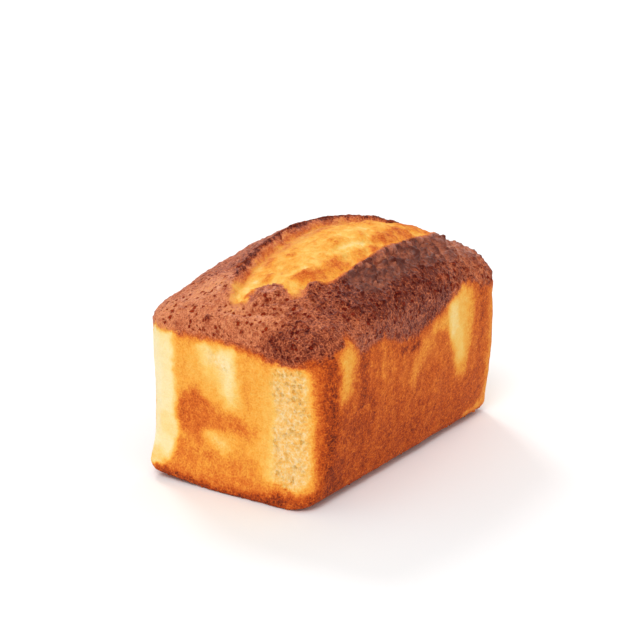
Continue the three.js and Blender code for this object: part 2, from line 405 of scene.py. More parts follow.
# On the left end wall places are Y and Z. Later strokes lie over earlier ones.
LEFT_WALL = strokes(
    ((16.8, 43), 1.8, (16.6, 29), 2.4, 0.42, 0.9, 1.6),  # orange gold strip
    ((12.8, 37), 1.2, (11.6, 31), 1.4, 0.37, 0.7, 1.6),
    ((9.6, 40.2), 2.0, (-0.2, 40.4), 2.4, 0.22, 0.9, 1.6),  # upper pale window
    ((4.6, 38), 5.6, (0.6, 26.6), 2.5, 0.24, 0.95, 1.8),
    ((1.6, 38.0), 2.6, (0.7, 29.0), 1.4, 0.11, 0.9, 2.0),
    ((7.6, 39.2), 1.6, (6.4, 37), 1.4, 0.15, 0.75, 1.6),
    ((6.8, 35.6), 0.5, (5.4, 29), 0.5, 0.36, 0.6, 1.0),
    ((-8.8, 38), 2.6, (-8.0, 23), 2.8, 0.40, 0.8, 2.4),  # gold band between the windows
    ((-4.8, 38), 0.9, (-4.4, 25), 1.2, 0.46, 0.7, 1.5),
    ((12.4, 28.6), 1.4, (13.0, 25), 3.4, 0.52, 0.85, 2.0),  # browned slanting patch
    ((13.6, 22.6), 4.6, (13.8, 19.2), 4.6, 0.65, 0.95, 1.6),
    ((9.0, 20.8), 3.6, (-1.0, 19.0), 2.2, 0.62, 0.9, 1.9),
    ((-1.0, 19.2), 2.4, (-5.0, 18.4), 2.6, 0.54, 0.8, 2.2),
    ((13.2, 14.8), 2.4, (11.8, 12.6), 2.0, 0.60, 0.9, 1.3),
    ((17.4, 12.6), 1.6, (15.6, 8.6), 2.4, 0.56, 0.85, 1.6),
    ((17, 8.2), 2.8, (-8, 8.2), 3.2, 0.57, 0.8, 2.6),
    ((-4.0, 14.0), 1.6, (-5.6, 8), 1.8, 0.48, 0.7, 2.0),
    ((7.6, 15.0), 1.0, (2.6, 13.0), 1.7, 0.33, 0.9, 1.2),  # small gold patch
    ((5.6, 14.4), 0.6, (3.8, 13.4), 0.7, 0.23, 0.7, 0.9),
    ((-14.2, 32), 4.0, (-12.6, 12), 4.8, 0.35, 0.95, 2.6),  # large open crumb window
    ((-19.2, 35.4), 5.8, (-18.2, 11.8), 6.8, 0.25, 1.0, 1.3),
    ((-14.6, 6.4), 0.5, (-21.0, 5.0), 0.7, 0.60, 0.75, 0.5),
    ((-27.6, 46), 1.7, (-27.6, 2), 1.7, 0.60, 1.0, 1.0),  # brown front corner
    ((-32.4, 46), 4.2, (-32.6, 0), 4.6, 0.85, 1.0, 1.2),
    ((-3.5, 42.0), 1.2, (-26, 41.6), 2.0, 0.60, 0.9, 1.6),  # under the rim
    ((-11, 41.2), 0.6, (-27, 42.2), 1.2, 0.86, 0.85, 0.9),
    ((24, 44.4), 1.6, (-3, 43.6), 1.4, 0.54, 0.85, 1.6),
    ((24, 4.2), 1.3, (-16, 4.0), 1.8, 0.61, 0.7, 1.8),  # along the foot
    ((32, 0.4), 2.2, (-16, 0.4), 2.4, 0.86, 0.95, 1.2),
    ((-16, 2.0), 1.6, (-31, 3.6), 3.0, 0.84, 0.9, 1.6),
    ((27.0, 47), 8.0, (27.2, 9), 7.4, 0.095, 1.0, 1.3),  # pale strip by the back corner
    ((31.0, 47), 6.5, (31.0, 9), 6.0, 0.03, 0.9, 3.0),
    ((21.6, 15.8), 3.2, (21.2, 14.8), 2.8, 0.16, 1.0, 0.8),
    ((25.6, 6.0), 3.0, (22.4, 5.2), 1.6, 0.26, 0.85, 1.6),
)

# On the front wall places are X and Z.
FRONT_WALL = strokes(
    ((4, 33), 6, (34, 31), 9, 0.63, 0.9, 5.0),
    ((-34, 9), 8, (34, 6), 7, 0.78, 0.8, 5.0),
    ((-45.4, 46), 2.8, (-45.8, 2), 3.2, 0.83, 1.0, 1.8),  # brown corner
    ((-42.4, 45), 1.2, (-42.2, 17), 2.0, 0.90, 0.85, 1.4),
    ((-44, 13), 3.2, (-39, 4), 3.8, 0.91, 0.9, 2.4),
    ((-38, 23), 3.4, (-29, 19), 3.6, 0.83, 0.85, 3.0),
    ((-30.2, 42), 2.0, (-29.8, 28), 2.6, 0.86, 0.85, 2.2),
    ((-25.2, 42), 1.2, (-25.2, 30), 1.8, 0.70, 0.8, 1.6),
    ((-25.6, 29.0), 0.9, (-23.4, 21.0), 1.2, 0.89, 0.85, 1.8),
    ((-36.8, 42.5), 5.0, (-38.8, 32.0), 3.0, 0.49, 1.0, 1.6),  # slanting gold window
    ((-37.4, 41.0), 2.9, (-38.6, 34.5), 1.8, 0.39, 0.9, 1.8),
    ((-20.1, 43.5), 1.0, (-20.3, 31), 0.8, 0.53, 0.95, 1.0),  # light streak
    ((-16.2, 38), 2.6, (-14.0, 32), 2.8, 0.62, 0.85, 2.4),
    ((-10.2, 36.4), 1.0, (-8.8, 35.8), 0.9, 0.93, 0.9, 0.9),  # dark drips under the crust
    ((-5.8, 38.0), 1.0, (-4.8, 37.6), 0.9, 0.96, 0.9, 0.9),
    ((-4.6, 35.0), 1.3, (-2.2, 35.6), 1.1, 0.95, 0.9, 0.9),
    ((3.6, 35.0), 2.2, (-1.8, 28.4), 2.5, 0.50, 0.85, 2.0),  # bent orange streak
    ((-1.8, 28.4), 2.4, (-3.0, 23.4), 1.6, 0.53, 0.85, 1.8),
    ((6.4, 38.2), 1.8, (13.0, 38.4), 2.8, 0.44, 0.95, 1.6),  # large pale window and its fringe
    ((22.2, 39.5), 8.8, (25.0, 22.0), 4.0, 0.46, 0.95, 1.9),
    ((20.8, 40.2), 6.4, (24.0, 25.0), 2.9, 0.34, 0.95, 1.8),
    ((18.0, 40.0), 2.6, (18.4, 34.0), 2.2, 0.18, 0.9, 1.8),
    ((21.4, 33.0), 2.0, (23.8, 26), 1.6, 0.26, 0.8, 1.7),
    ((26.4, 40), 1.6, (26.8, 29), 1.4, 0.42, 0.7, 1.8),
    ((35.2, 44), 1.3, (35.6, 17), 1.9, 0.77, 0.9, 1.9),
    ((39.8, 43), 1.4, (43.8, 8), 1.6, 0.50, 0.9, 1.6),  # orange right corner
    ((46.5, 46), 3.6, (48.5, 6), 2.4, 0.36, 0.95, 1.6),
    ((-50, 0.4), 1.8, (30, 0.4), 1.6, 0.93, 0.9, 1.2),
    ((32.6, 4.2), 0.9, (47, 4.2), 1.8, 0.42, 0.9, 1.5),
)

# The two walls that face away are browned in the same way, with strokes of their own.
RIGHT_WALL = strokes(
    ((-32, 46), 3.4, (-32, 0), 3.6, 0.50, 0.9, 1.8),
    ((-24, 42), 3.8, (-23, 10), 3.4, 0.24, 0.95, 1.6),
    ((-13, 42), 1.4, (-12.4, 24), 1.6, 0.46, 0.8, 1.8),
    ((-5.5, 39.5), 4.0, (-3.4, 29), 1.6, 0.20, 0.95, 1.6),
    ((-7, 21), 3.6, (5, 25), 3.8, 0.63, 0.95, 1.2),
    ((5, 25), 3.4, (9.5, 17), 2.2, 0.60, 0.9, 1.4),
    ((16.4, 37), 4.6, (16.0, 13), 4.8, 0.21, 1.0, 1.0),
    ((-12, 9.0), 3.0, (12, 8.4), 3.0, 0.50, 0.8, 2.6),
    ((-4.6, 13.6), 1.2, (0.4, 12.6), 1.5, 0.28, 0.85, 1.2),
    ((26.6, 44), 1.8, (26.8, 0), 2.0, 0.62, 1.0, 1.4),
    ((31.4, 46), 3.4, (31.4, 0), 3.8, 0.80, 1.0, 1.3),
    ((-26, 44.4), 1.4, (26, 42.6), 1.8, 0.62, 0.85, 1.5),
    ((-30, 3.6), 1.8, (30, 3.6), 1.8, 0.62, 0.7, 2.0),
    ((-32, 0.6), 2.2, (32, 0.6), 2.2, 0.84, 0.95, 1.3),
)
BACK_WALL = strokes(
    ((-30, 8), 7, (34, 7), 7, 0.78, 0.8, 5.0),
    ((-47.6, 47), 3.8, (-48.4, 8), 3.4, 0.05, 1.0, 0.9),
    ((-42.6, 44), 1.2, (-43.4, 6), 1.4, 0.50, 0.9, 1.6),
    ((-37.0, 42), 2.4, (-38.4, 28), 1.2, 0.38, 0.95, 1.6),
    ((-24.5, 41), 6.8, (-22.0, 22), 2.4, 0.34, 0.95, 1.8),
    ((-22.6, 39.5), 2.8, (-21.6, 27), 1.2, 0.18, 0.9, 1.6),
    ((-13.2, 42), 0.7, (-12.6, 30), 0.5, 0.56, 0.9, 1.0),
    ((-9, 24), 3.4, (0, 19), 3.4, 0.86, 0.8, 3.0),
    ((2.4, 38), 1.3, (5.4, 29), 1.2, 0.57, 0.9, 1.4),
    ((15.4, 39.5), 5.2, (17.6, 24.5), 2.0, 0.40, 0.95, 1.6),
    ((15.6, 38.5), 2.2, (16.8, 30), 1.2, 0.24, 0.9, 1.5),
    ((27, 40), 2.2, (33, 15), 4.4, 0.86, 0.85, 2.6),
    ((38.6, 42), 2.2, (39.6, 33), 1.2, 0.42, 0.9, 1.5),
    ((46.2, 46), 2.6, (47.0, 2), 2.8, 0.78, 0.95, 1.6),
    ((-50, 0.4), 1.6, (50, 0.4), 1.6, 0.93, 0.9, 1.2),
)
BASE = strokes(
    ((-26, 0), 17, (26, 0), 17, 0.62, 0.9, 6.0),
    ((-26, 4), 5, (-12, 9), 5, 0.54, 0.8, 5.0),
    ((6, -6), 5, (24, -3), 6, 0.70, 0.8, 5.0),
)

# On the top crust places are X and Y.
TOP_CRUST = strokes(
    ((-46, 26), 4, (-45, -6), 5, 0.62, 0.9, 4.0),  # shoulder by the left end
    ((-40, 22), 6, (-37, 13), 5, 0.51, 0.9, 4.0),
    ((-43.0, 3), 1.4, (-43.0, -5), 1.4, 0.50, 0.8, 2.0),
    ((-47, -16), 3, (-45, -28), 5, 0.88, 0.9, 3.0),
    ((-40, -12), 3.6, (-38.5, -17), 3.4, 0.74, 0.85, 3.0),
    ((-36, -24), 4, (-30, -20), 3, 0.88, 0.8, 3.0),
    ((-36, 24), 6, (2, 23), 7, 0.70, 0.8, 4.0),  # back
    ((10, 22), 8, (30, 20), 8, 0.80, 0.8, 4.0),
    ((-22, -24), 6.4, (14, -24), 7.0, 0.98, 0.95, 2.4),  # dark near flank
    ((22, -25), 5.0, (30, -26), 5.0, 0.86, 0.85, 3.0),
    ((-10, -18.6), 1.8, (30, -17.6), 2.6, 0.83, 0.8, 2.0),
    ((36, -22), 9, (38, 6), 9, 0.73, 0.85, 5.0),
    ((40, 14), 6, (38, 24), 6, 0.72, 0.8, 4.0),
)
TONGUE = strokes(
    ((-43.4, -9.4), 3.8, (-41.0, -4.6), 3.0, 0.60, 0.95, 1.3),
    ((-38.8, -8.0), 4.0, (-37.2, -3.2), 3.2, 0.72, 0.95, 1.1),
    ((-39.4, -1.6), 0.8, (-35.4, -3.8), 1.1, 0.82, 0.85, 0.9),
    ((-35.2, -4.6), 0.9, (-35.4, -7.4), 0.8, 0.78, 0.8, 0.9),
)

# How pitted the top crust is, from 0 for a smooth skin to 1 for lace.
LACE = strokes(
    ((-44, -14), 6, (-24, -28), 6, 1.0, 0.95, 5.0),
    ((-38, -14), 4, (-34, -20), 4, 0.8, 0.9, 4.0),
    ((-16, -21), 6.0, (36, -20), 7.0, 0.0, 0.95, 3.0),
    ((-14, -29.5), 2.4, (26, -29.5), 2.2, 0.75, 0.9, 2.2),
    ((36, -16), 8, (38, 6), 8, 0.0, 0.95, 5.0),
)

# The crumb in the split, in the same way as the crust.
SPLIT_CRUMB = strokes(
    ((-41, 4.0), 1.8, (-33, 3.8), 2.4, 0.21, 0.95, 1.8),
    ((-33.0, 1.0), 2.0, (-32.4, -8), 1.8, 0.34, 0.8, 1.8),
    ((-30, -1), 2.6, (-18, -3.4), 2.6, 0.33, 0.8, 2.0),
    ((-31.6, -1.6), 1.4, (-29.4, -1.2), 1.2, 0.55, 0.9, 0.9),  # orange lobes
    ((-38.5, 1.0), 0.9, (-35.4, -0.4), 1.1, 0.58, 0.9, 1.0),
    ((-29.4, -9.8), 1.7, (-25.0, -11.8), 2.6, 0.55, 0.9, 1.0),
    ((-24.0, -12.0), 2.4, (-15.0, -13.6), 2.3, 0.51, 0.9, 1.2),
    ((-13.0, -14.0), 2.4, (-9.6, -12.4), 1.5, 0.50, 0.9, 1.2),
    ((1.0, -15.0), 2.3, (20, -13.2), 3.5, 0.53, 0.9, 1.5),
    ((24, -10), 3.4, (32, -9), 4.0, 0.54, 0.9, 2.4),
    ((-29, -6.0), 0.8, (-24, -8.6), 0.9, 0.21, 0.85, 1.1),  # pale creases
    ((-20, -9.0), 1.2, (-10, -8.8), 1.6, 0.27, 0.9, 1.6),
    ((-8.0, -9.4), 0.9, (-2.0, -11.8), 1.0, 0.17, 0.9, 1.2),
    ((-8, -5.4), 1.6, (8, -6.6), 1.4, 0.28, 0.75, 1.8),
)

# Short cracks in the near flank, as strokes on the top.
CRACKS = strokes(
    ((-30.0, -25.6), 0.20, (-24.4, -26.6), 0.34, 0.99, 0.9, 0.22),
    ((-3.6, -27.2), 0.16, (1.8, -27.0), 0.28, 0.98, 0.85, 0.22),
    ((-17.4, -28.4), 0.14, (-14.2, -28.2), 0.24, 0.98, 0.8, 0.20),
    ((-36.2, -19.4), 0.16, (-33.2, -20.4), 0.26, 0.98, 0.8, 0.22),
    ((-47.0, 7.4), 0.5, (-46.8, 8.4), 0.5, 0.90, 0.85, 0.5),  # deep burnt pits
    ((-42.8, -10.0), 0.35, (-42.4, -11.2), 0.4, 0.92, 0.85, 0.35),
    ((-47.6, -13.4), 0.3, (-47.8, -14.2), 0.3, 0.90, 0.8, 0.4),
    ((-42.8, -17.8), 0.4, (-42.2, -18.6), 0.35, 0.95, 0.85, 0.35),
    ((12.6, -29.0), 0.6, (14.4, -29.1), 0.55, 0.64, 0.9, 0.5),  # red dimple
)

# Where the crumb of a wall was torn open by the tin and shows its pores.
LEFT_OPEN = strokes(
    ((-18.8, 35.0), 5.4, (-18.8, 11.6), 5.8, 1.0, 1.0, 1.4),
    ((6, 38.4), 1.6, (2, 36), 1.6, 0.5, 1.0, 2.0),
    ((5.6, 14.4), 0.8, (4.0, 13.6), 0.8, 0.5, 1.0, 1.0),
)
RIGHT_OPEN = strokes(
    ((16.4, 37), 4.0, (16.0, 13), 4.2, 1.0, 1.0, 1.4),
    ((-24, 32), 2.0, (-23, 18), 2.0, 0.7, 1.0, 1.6),
)
BACK_OPEN = strokes(((-22.6, 37), 1.8, (-21.8, 29), 1.0, 0.6, 1.0, 1.6))

# Where the crust ends on a wall it reaches down or stops short of the rim in broad waves: place on
# the wall, half width, and rise, all in millimetres.
Wave = namedtuple("Wave", "across half_width rise")
LEFT_EDGE = (Wave(-17, 9, -3.2), Wave(-31, 5, 0.6))
FRONT_EDGE = (
    Wave(-37.5, 3.4, 3.4), Wave(-30, 3.6, -2.2), Wave(-20.2, 1.6, 1.8), Wave(-6, 14, -4.4),
    Wave(24.5, 8.0, 4.0), Wave(-46, 4, -0.4),
)
RIGHT_EDGE = (Wave(-6, 6, 1.6), Wave(14, 8, -2.4))
BACK_EDGE = (Wave(-24, 7, 3.0), Wave(-6, 8, -3.4), Wave(16, 7, 2.8), Wave(32, 8, -2.8))


def stroke_mask(stroke, across, up):
    """Share of a stroke at places on its face. The distance to the line between its ends, less the
    half width at the nearest point of it, says how far outside a place lies."""
    start, end = np.array(stroke.start, float), np.array(stroke.end, float)
    run = end - start
    offset = np.stack([across - start[0], up - start[1]], -1)
    t = np.clip(offset @ run / max(run @ run, 1e-6), 0, 1)
    distance = np.linalg.norm(offset - t[..., None] * run, axis=-1)
    outside = distance - blend(stroke.width, stroke.end_width, t)
    return 1 - smooth(-stroke.soft, stroke.soft, outside)


def browned(laid, start, across, up):
    """Browning on a face that starts even and takes each laid stroke in turn."""
    bake = np.full(np.shape(across), float(start))
    for stroke in laid:
        bake = blend(bake, stroke.bake, stroke.strength * stroke_mask(stroke, across, up))
    return bake


def warped(points, seed):
    """Points pushed about by a broad and a fine noise, so that no stroke shows a smooth outline."""
    broad = [grain(points, 7.0, seed + 31 * axis) for axis in (1, 2, 3)]
    fine = [fractal(points, 1.8, 3, seed + 57 * axis) for axis in (1, 2, 3)]
    return points + 1.0 * np.stack(broad, -1) + 0.7 * np.stack(fine, -1)


def wall_shares(loaf, x, y):
    """How much a place belongs to the left, right, front and back wall. It faces away from the
    nearest point of a rectangle set in from the rim, and the shares go by the fourth power of that
    direction, so that the walls are mixed round a corner."""
    setback = 13.0
    out_x = np.sign(x) * np.clip(np.abs(x) - (loaf.rim_length / 2 - setback), 0, None)
    out_y = np.sign(y) * np.clip(np.abs(y) - (loaf.rim_width / 2 - setback), 0, None)
    shares = np.stack([np.clip(out, 0, None) for out in (-out_x, out_x, -out_y, out_y)])
    shares = (shares / setback) ** 4 + 1e-7
    return shares / shares.sum(0)


# For each wall: strokes of browning, the browning they lie on, strokes of open crumb, and the edge of
# the crust. The order is that of wall_shares.
WALLS = (
    (LEFT_WALL, 0.40, LEFT_OPEN, LEFT_EDGE),
    (RIGHT_WALL, 0.42, RIGHT_OPEN, RIGHT_EDGE),
    (FRONT_WALL, 0.70, (), FRONT_EDGE),
    (BACK_WALL, 0.72, BACK_OPEN, BACK_EDGE),
)
FAINT_OPENNESS = 0.06  # how open the crumb of a wall is outside the strokes
BASE_BAKE, CRUST_BAKE, SPLIT_BAKE = 0.80, 0.80, 0.41  # browning that the strokes there lie on
EDGE_DROP = 0.2  # how far below the rim the crust begins where no wave lifts it
FRINGE = 1.3  # distance over which the darkening of a wall below the crust dies away
FRINGE_BAKE, FRINGE_LIMIT = 0.26, 0.80  # how much darker it is at the edge, and the darkest it gets


def painted_walls(loaf, points, moved, normals, ragged, seed):
    """Browning and openness of walls and base, and height above the edge of the crust. Every wall is
    worked out everywhere and counts by its share. Vertical streaks and ragged noise make browned
    places uneven, and below the crust the wall darkens as e^(-distance / fringe)."""
    wall = openness = 0
    edge = loaf.rim_height - EDGE_DROP
    shares = wall_shares(loaf, points[:, 0], points[:, 1])
    for share, axis, (browning, start, holes, waves) in zip(shares, (1, 1, 0, 0), WALLS):
        across, up = moved[:, axis], moved[:, 2]
        wall = wall + share * browned(browning, start, across, up)
        openness = openness + share * browned(holes, FAINT_OPENNESS, across, up)
        for wave in waves:
            edge = edge + share * wave.rise * np.exp(-(((across - wave.across) / wave.half_width) ** 2))
    streaks = fractal(points * (1, 1, 0.25), 3.2, 3, seed + 5)
    wall = wall + blend(0.02, 0.075, smooth(0.3, 0.7, wall)) * (0.8 * streaks + ragged)
    base = browned(BASE, BASE_BAKE, points[:, 0], points[:, 1]) + 0.07 * fractal(points, 14, 2, seed + 12)
    wall = blend(wall, base, smooth(0.5, 0.95, -normals[:, 2]))
    above = points[:, 2] - edge + 1.3 * ragged
    fringe = np.exp(np.minimum(above, 0) / FRINGE)
    wall = blend(wall, np.clip(wall + FRINGE_BAKE, 0, FRINGE_LIMIT), fringe)
    return wall, openness, above


def split_at(loaf, points, moved, ragged):
    """The split as each point sees it: share of crumb, distances in from both lips, softness of the
    near one, distance in from the far one with half of the warp, and how steeply the far one
    stands. The tongue of crust is cut out of the share."""
    x, y = points[:, 0], points[:, 1]
    along, near, far = lips_at(loaf, x)
    soft_near, soft_far = lip_softness(x)
    past_near, past_far = y - near, far - y
    from_near = past_near - 1.6 * soft_near + 0.9 * ragged * soft_near
    near_share = smooth(-0.3 - 1.6 * soft_near, 0.3 + 2.8 * soft_near, from_near)
    far_share = smooth(-0.3 - 2.0 * soft_far, 0.3 + 3.0 * soft_far, past_far + ragged * soft_far)
    tongue = browned([stroke._replace(bake=1) for stroke in TONGUE], 0, moved[:, 0], moved[:, 1])
    tongue = smooth(0.3, 0.75, tongue + 0.5 * ragged)
    return SimpleNamespace(
        share=near_share * far_share * (np.abs(along) < 1) * (1 - tongue),
        past_near=past_near,
        past_far=past_far,
        soft_near=soft_near,
        far_slope=far - (y + 0.5 * (moved[:, 1] - y)),
        standing=(1 - np.clip(soft_far, 0, 1)) * far_strength(along),
    )


LEDGE_BAKES = (0.36, 0.45)  # browning of the ledge where the split starts, and further along
NEAR_EDGE_BAKE = 0.55  # of the crumb beside the near lip
SLOPE_BAKE = 0.66  # of the slope up to the far lip
# The edge below the far lip is nearly black: burnt crumb, and painted shade in the crevice there.
BURNT_AND_SHADED_BAKE = 0.97  # of the upper edge of that slope
FAR_LIP_BAKE, NEAR_LIP_BAKE = 0.88, 0.94  # of the crust along the lips


def painted_crumb(split, points, moved, ragged, seed):
    """Browning of the crumb in the split, and how far it is torn and toasted. Beside the far lip a
    ledge of deeper crumb is orange, the slope up to the lip brown and its edge nearly black, as burnt
    crumb with painted shade under the lip."""
    x = points[:, 0]
    mottle = 0.20 * fractal(points, 5.0, 2, seed + 6) + 0.10 * fractal(points, 1.5, 3, seed + 7)
    wander = fractal(points, 3.6, 2, seed + 8)
    ledge = blend(4.0, 9.0, smooth(-32, 0, x))
    ledge = smooth(1.3, 0.7, (split.far_slope + 1.6 * wander) / ledge) * split.standing
    slope = split.far_slope + 0.45 * wander
    crumb = browned(SPLIT_CRUMB, SPLIT_BAKE, moved[:, 0], moved[:, 1]) + mottle
    crumb = blend(crumb, blend(*LEDGE_BAKES, smooth(-36, -12, x)) + 0.8 * mottle, 0.9 * ledge)
    near_edge = smooth(2.0, 0.3, split.past_near + 0.8 * ragged) * (1 - split.soft_near)
    crumb = blend(crumb, NEAR_EDGE_BAKE, near_edge)
    crumb = blend(crumb, SLOPE_BAKE + mottle, 0.8 * smooth(3.4, 1.6, slope) * split.standing)
    # Burnt crumb and painted shade: the crevice under the far lip is made nearly black.
    crumb = blend(crumb, BURNT_AND_SHADED_BAKE, smooth(1.2, 0.8, slope) * split.standing)
    torn = np.maximum(0.28 * ledge, smooth(2.6, 1.2, slope) * split.standing)
    return crumb, torn


def painted_crust(split, points, moved, ragged, seed):
    """Browning of the top crust: its strokes and a little noise, darker along both lips, and the
    short cracks."""
    top = browned(TOP_CRUST + TONGUE, CRUST_BAKE, moved[:, 0], moved[:, 1])
    top = top + 0.055 * fractal(points, 3.6, 3, seed + 4)
    far_edge = smooth(-1.0, -0.1, split.past_far) * (split.past_far < 1) * split.standing
    near_edge = smooth(-1.4, -0.1, split.past_near) * (split.past_near < 1) * (1 - split.soft_near)
    top = blend(top, FAR_LIP_BAKE, 0.5 * far_edge)
    top = blend(top, NEAR_LIP_BAKE, 0.5 * near_edge)
    for crack in CRACKS:
        mask = stroke_mask(crack, points[:, 0], points[:, 1] + 0.25 * ragged)
        top = blend(top, crack.bake, crack.strength * mask)
    return top


def painted(loaf, points, normals, seed):
    """Browning, share of crust, share of split crumb, laciness of the crust and openness of the crumb
    at points with the given normals. Below the crust's edge lies the wall and above it the top, where
    the split is cut out between the lips."""
    moved = warped(points, seed)
    ragged = fractal(points, 2.2, 3, seed + 3)
    wall, openness, above = painted_walls(loaf, points, moved, normals, ragged, seed)
    on_top = smooth(-1.2, 1.2, above)
    split = split_at(loaf, points, moved, ragged)
    crumb, torn = painted_crumb(split, points, moved, ragged, seed)
    top = painted_crust(split, points, moved, ragged, seed)
    share = split.share * on_top
    bake = blend(wall, blend(top, crumb, share), on_top)
    return SimpleNamespace(
        bake=np.clip(bake, 0, 1),
        crust=on_top * (1 - share * (1 - 0.8 * torn)),
        split=share,
        lace=blend(browned(LACE, 0.42, moved[:, 0], moved[:, 1]), 0.7 * torn, share),
        open=openness * (1 - on_top),
    )


# The pits of each zone, and the depth of the cracks in millimetres.
WALL_PORES = PitKind(1.3, 0.60, 0.8, 0.20)
SPLIT_HOLES = PitKind(1.7, 0.50, 0.4, 0.22)
LARGE_PITS = PitKind(2.3, 0.85, 0.75, 0.56)
SMALL_PITS = PitKind(1.15, 0.43, 0.65, 0.26)
CRACK_DEPTH = 0.5
BLISTER_SIZE = 2.7  # spacing of the blisters, in millimetres


def wall_texture(points, skin, seed):
    """Height of the pan-baked walls and their pores: broad swells and fine grain, less the depth of
    the pores where the crumb is open, and rougher at the foot."""
    broad = 0.32 * fractal(points, 16, 2, seed + 1) + 0.10 * fractal(points, 3.2, 2, seed + 2)
    fine = fractal(points, 1.0, 2, seed + 3)
    pores = pits(points, WALL_PORES, seed + 9) * skin.open
    foot = smooth(4.0, 1.0, points[:, 2])
    rough_foot = 0.30 * foot * fractal(points, 2.2, 3, seed + 11)
    return broad + 0.05 * fine - WALL_PORES.depth * pores + rough_foot, pores


def crumb_texture(points, skin, seed):
    """Height of the crumb in the split and its holes: folds, a little longer along the loaf than
    across it, and a finer sponge, higher where it browned, less the depth of the holes."""
    folds = 0.74 * fractal(points * (0.8, 1, 1), 5.0, 2, seed + 21)
    sponge = 0.20 * fractal(points, 1.4, 2, seed + 22)
    holes = pits(points, SPLIT_HOLES, seed + 23)
    raised = 2.0 * (np.minimum(skin.bake, 0.6) - 0.3)
    return folds + sponge - SPLIT_HOLES.depth * holes + raised, holes


WRINKLE_RISE, BLISTER_RISE = 1.5, 1.6  # of the near flank and the right end, in millimetres
WRINKLE_SINK = 0.9  # how far both are lowered together, so that they lie round the plain crust


def crust_texture(points, skin, seed):
    """Height of the crust, depth of its pits and the painted highlight that makes its high spots paler.
    Lumps lie under two sizes of pits, which come in clusters, and under short cracks. The near flank
    and the right end are blistered and wrinkled, with painted shade in the valleys and painted
    highlights on the tops."""
    x, y = points[:, 0], points[:, 1]
    lumps = 0.36 * fractal(points, 9, 2, seed + 82) + 0.18 * fractal(points, 2.6, 3, seed + 83)
    fine = fractal(points, 1.0, 2, seed + 3)
    shaken = points + 0.35 * np.stack([grain(points, 1.2, seed + 88 + k) for k in (0, 1, 2)], -1)

    wide = blend(0.7, 1.25, skin.lace) * (1 + 0.3 * grain(points, 5.0, seed + 91))
    clustered = blend(0.35, 1.1, smooth(-0.35, 0.35, fractal(points, 6.5, 2, seed + 96)))
    kept = (1 - skin.split) * blend(1, 0.5, smooth(2, 12, y)) * blend(clustered, 1, 0.5 * skin.lace)
    large = pits(shaken, LARGE_PITS, seed + 86, wide) * kept
    small = pits(shaken, SMALL_PITS, seed + 87, wide) * kept
    cracks = sum(stroke_mask(crack._replace(soft=0.4), x, y) for crack in CRACKS)
    sunk = LARGE_PITS.depth * large + SMALL_PITS.depth * small + CRACK_DEPTH * cracks

    flank = smooth(-12.5, -15.5, y) * smooth(-29, -23, y) * smooth(-27, -12, x)
    wrinkled = np.maximum(flank * blend(1, 0.6, smooth(18, 30, x)), 0.6 * smooth(22, 32, x))
    wrinkle = np.abs(fractal(points, 3.8, 2, seed + 84)) + 0.4 * np.abs(fractal(points, 1.7, 2, seed + 85))
    blisters = knobs(shaken, BLISTER_SIZE, seed + 94)
    wrinkles = WRINKLE_RISE * wrinkle + BLISTER_RISE * blisters - WRINKLE_SINK
    # Painted shade: the valleys between wrinkles and blisters are darkened through the pit value.
    valley_shade = wrinkled * np.maximum(smooth(0.24, 0.0, wrinkle), smooth(0.35, 0.0, blisters))
    # Painted highlight: the tops of the blisters and wrinkles are made paler.
    painted_highlight = wrinkled * (0.27 * (blisters - 0.40) + 0.22 * (wrinkle - 0.25) + 0.11 * fine)

    height = lumps + wrinkled * wrinkles + 0.10 * fine - sunk
    # The pit value darkens the colour: painted shade in the pits, the wrinkle valleys and the cracks.
    pit = np.clip(np.maximum(large, 0.7 * small) + 0.6 * valley_shade + 0.6 * cracks, 0, 1)
    return height, pit, painted_highlight + 0.05 * fine


def textured(points, skin, seed):
    """Height of the surface texture at points, depth of its pits, and the painted highlight that makes
    its high spots paler. Wall, split crumb and crust each count by their share."""
    wall, pores = wall_texture(points, skin, seed)
    crumb, holes = crumb_texture(points, skin, seed)
    crust, crust_pit, painted_highlight = crust_texture(points, skin, seed)
    bare = 1 - skin.crust
    height = (wall * (1 - skin.split) + crumb * skin.split) * bare + crust * skin.crust
    pit = (0.7 * pores + 0.4 * holes * skin.split) * bare + crust_pit * skin.crust
    return height, pit, painted_highlight * skin.crust


# ---- Meshes --------------------------------------------------------------------------------------


def point_normals(points, quads):
    """Unit normal at each point: the sum of the cross products of the diagonals of its faces."""
    corners = points[quads]
    crosses = np.cross(corners[:, 2] - corners[:, 0], corners[:, 3] - corners[:, 1])
    normals = np.zeros_like(points)
    for corner in range(4):
        np.add.at(normals, quads[:, corner], crosses)
    return normals / np.maximum(np.linalg.norm(normals, axis=1, keepdims=True), 1e-12)


def grid_quads(grid, wrap_rows=False, wrap_columns=False):
    """Faces between neighbours in a grid of point numbers, which may close on itself."""
    if wrap_rows:
        grid = np.vstack([grid, grid[:1]])
    if wrap_columns:
        grid = np.hstack([grid, grid[:, :1]])
    corners = (grid[:-1, :-1], grid[:-1, 1:], grid[1:, 1:], grid[1:, :-1])
    return np.stack([corner.ravel() for corner in corners], 1)


def fan(ring, pole):
    """Triangles between the neighbours of a ring of point numbers and one pole."""
    return np.stack([ring, np.roll(ring, -1), np.full(len(ring), pole)], 1)


def make_piece(name, points, quads, triangles, attributes, material):
    """A smooth-shaded mesh object at the origin from points in millimetres, with one float
    attribute on its points for each entry of attributes."""
    mesh = bpy.data.meshes.new(name)
    faces = quads.tolist() + triangles.tolist()
    mesh.from_pydata((points * MM).tolist(), [], faces)
    mesh.polygons.foreach_set("use_smooth", np.ones(len(mesh.polygons), bool))
    for key, values in attributes.items():
        layer = mesh.attributes.new(key, "FLOAT", "POINT")
        layer.data.foreach_set("value", np.asarray(values, np.float32))
    mesh.materials.append(material)
    mesh.update()
    piece = bpy.data.objects.new(name, mesh)
    bpy.context.scene.collection.objects.link(piece)
    return piece


# ---- The crumb body ------------------------------------------------------------------------------

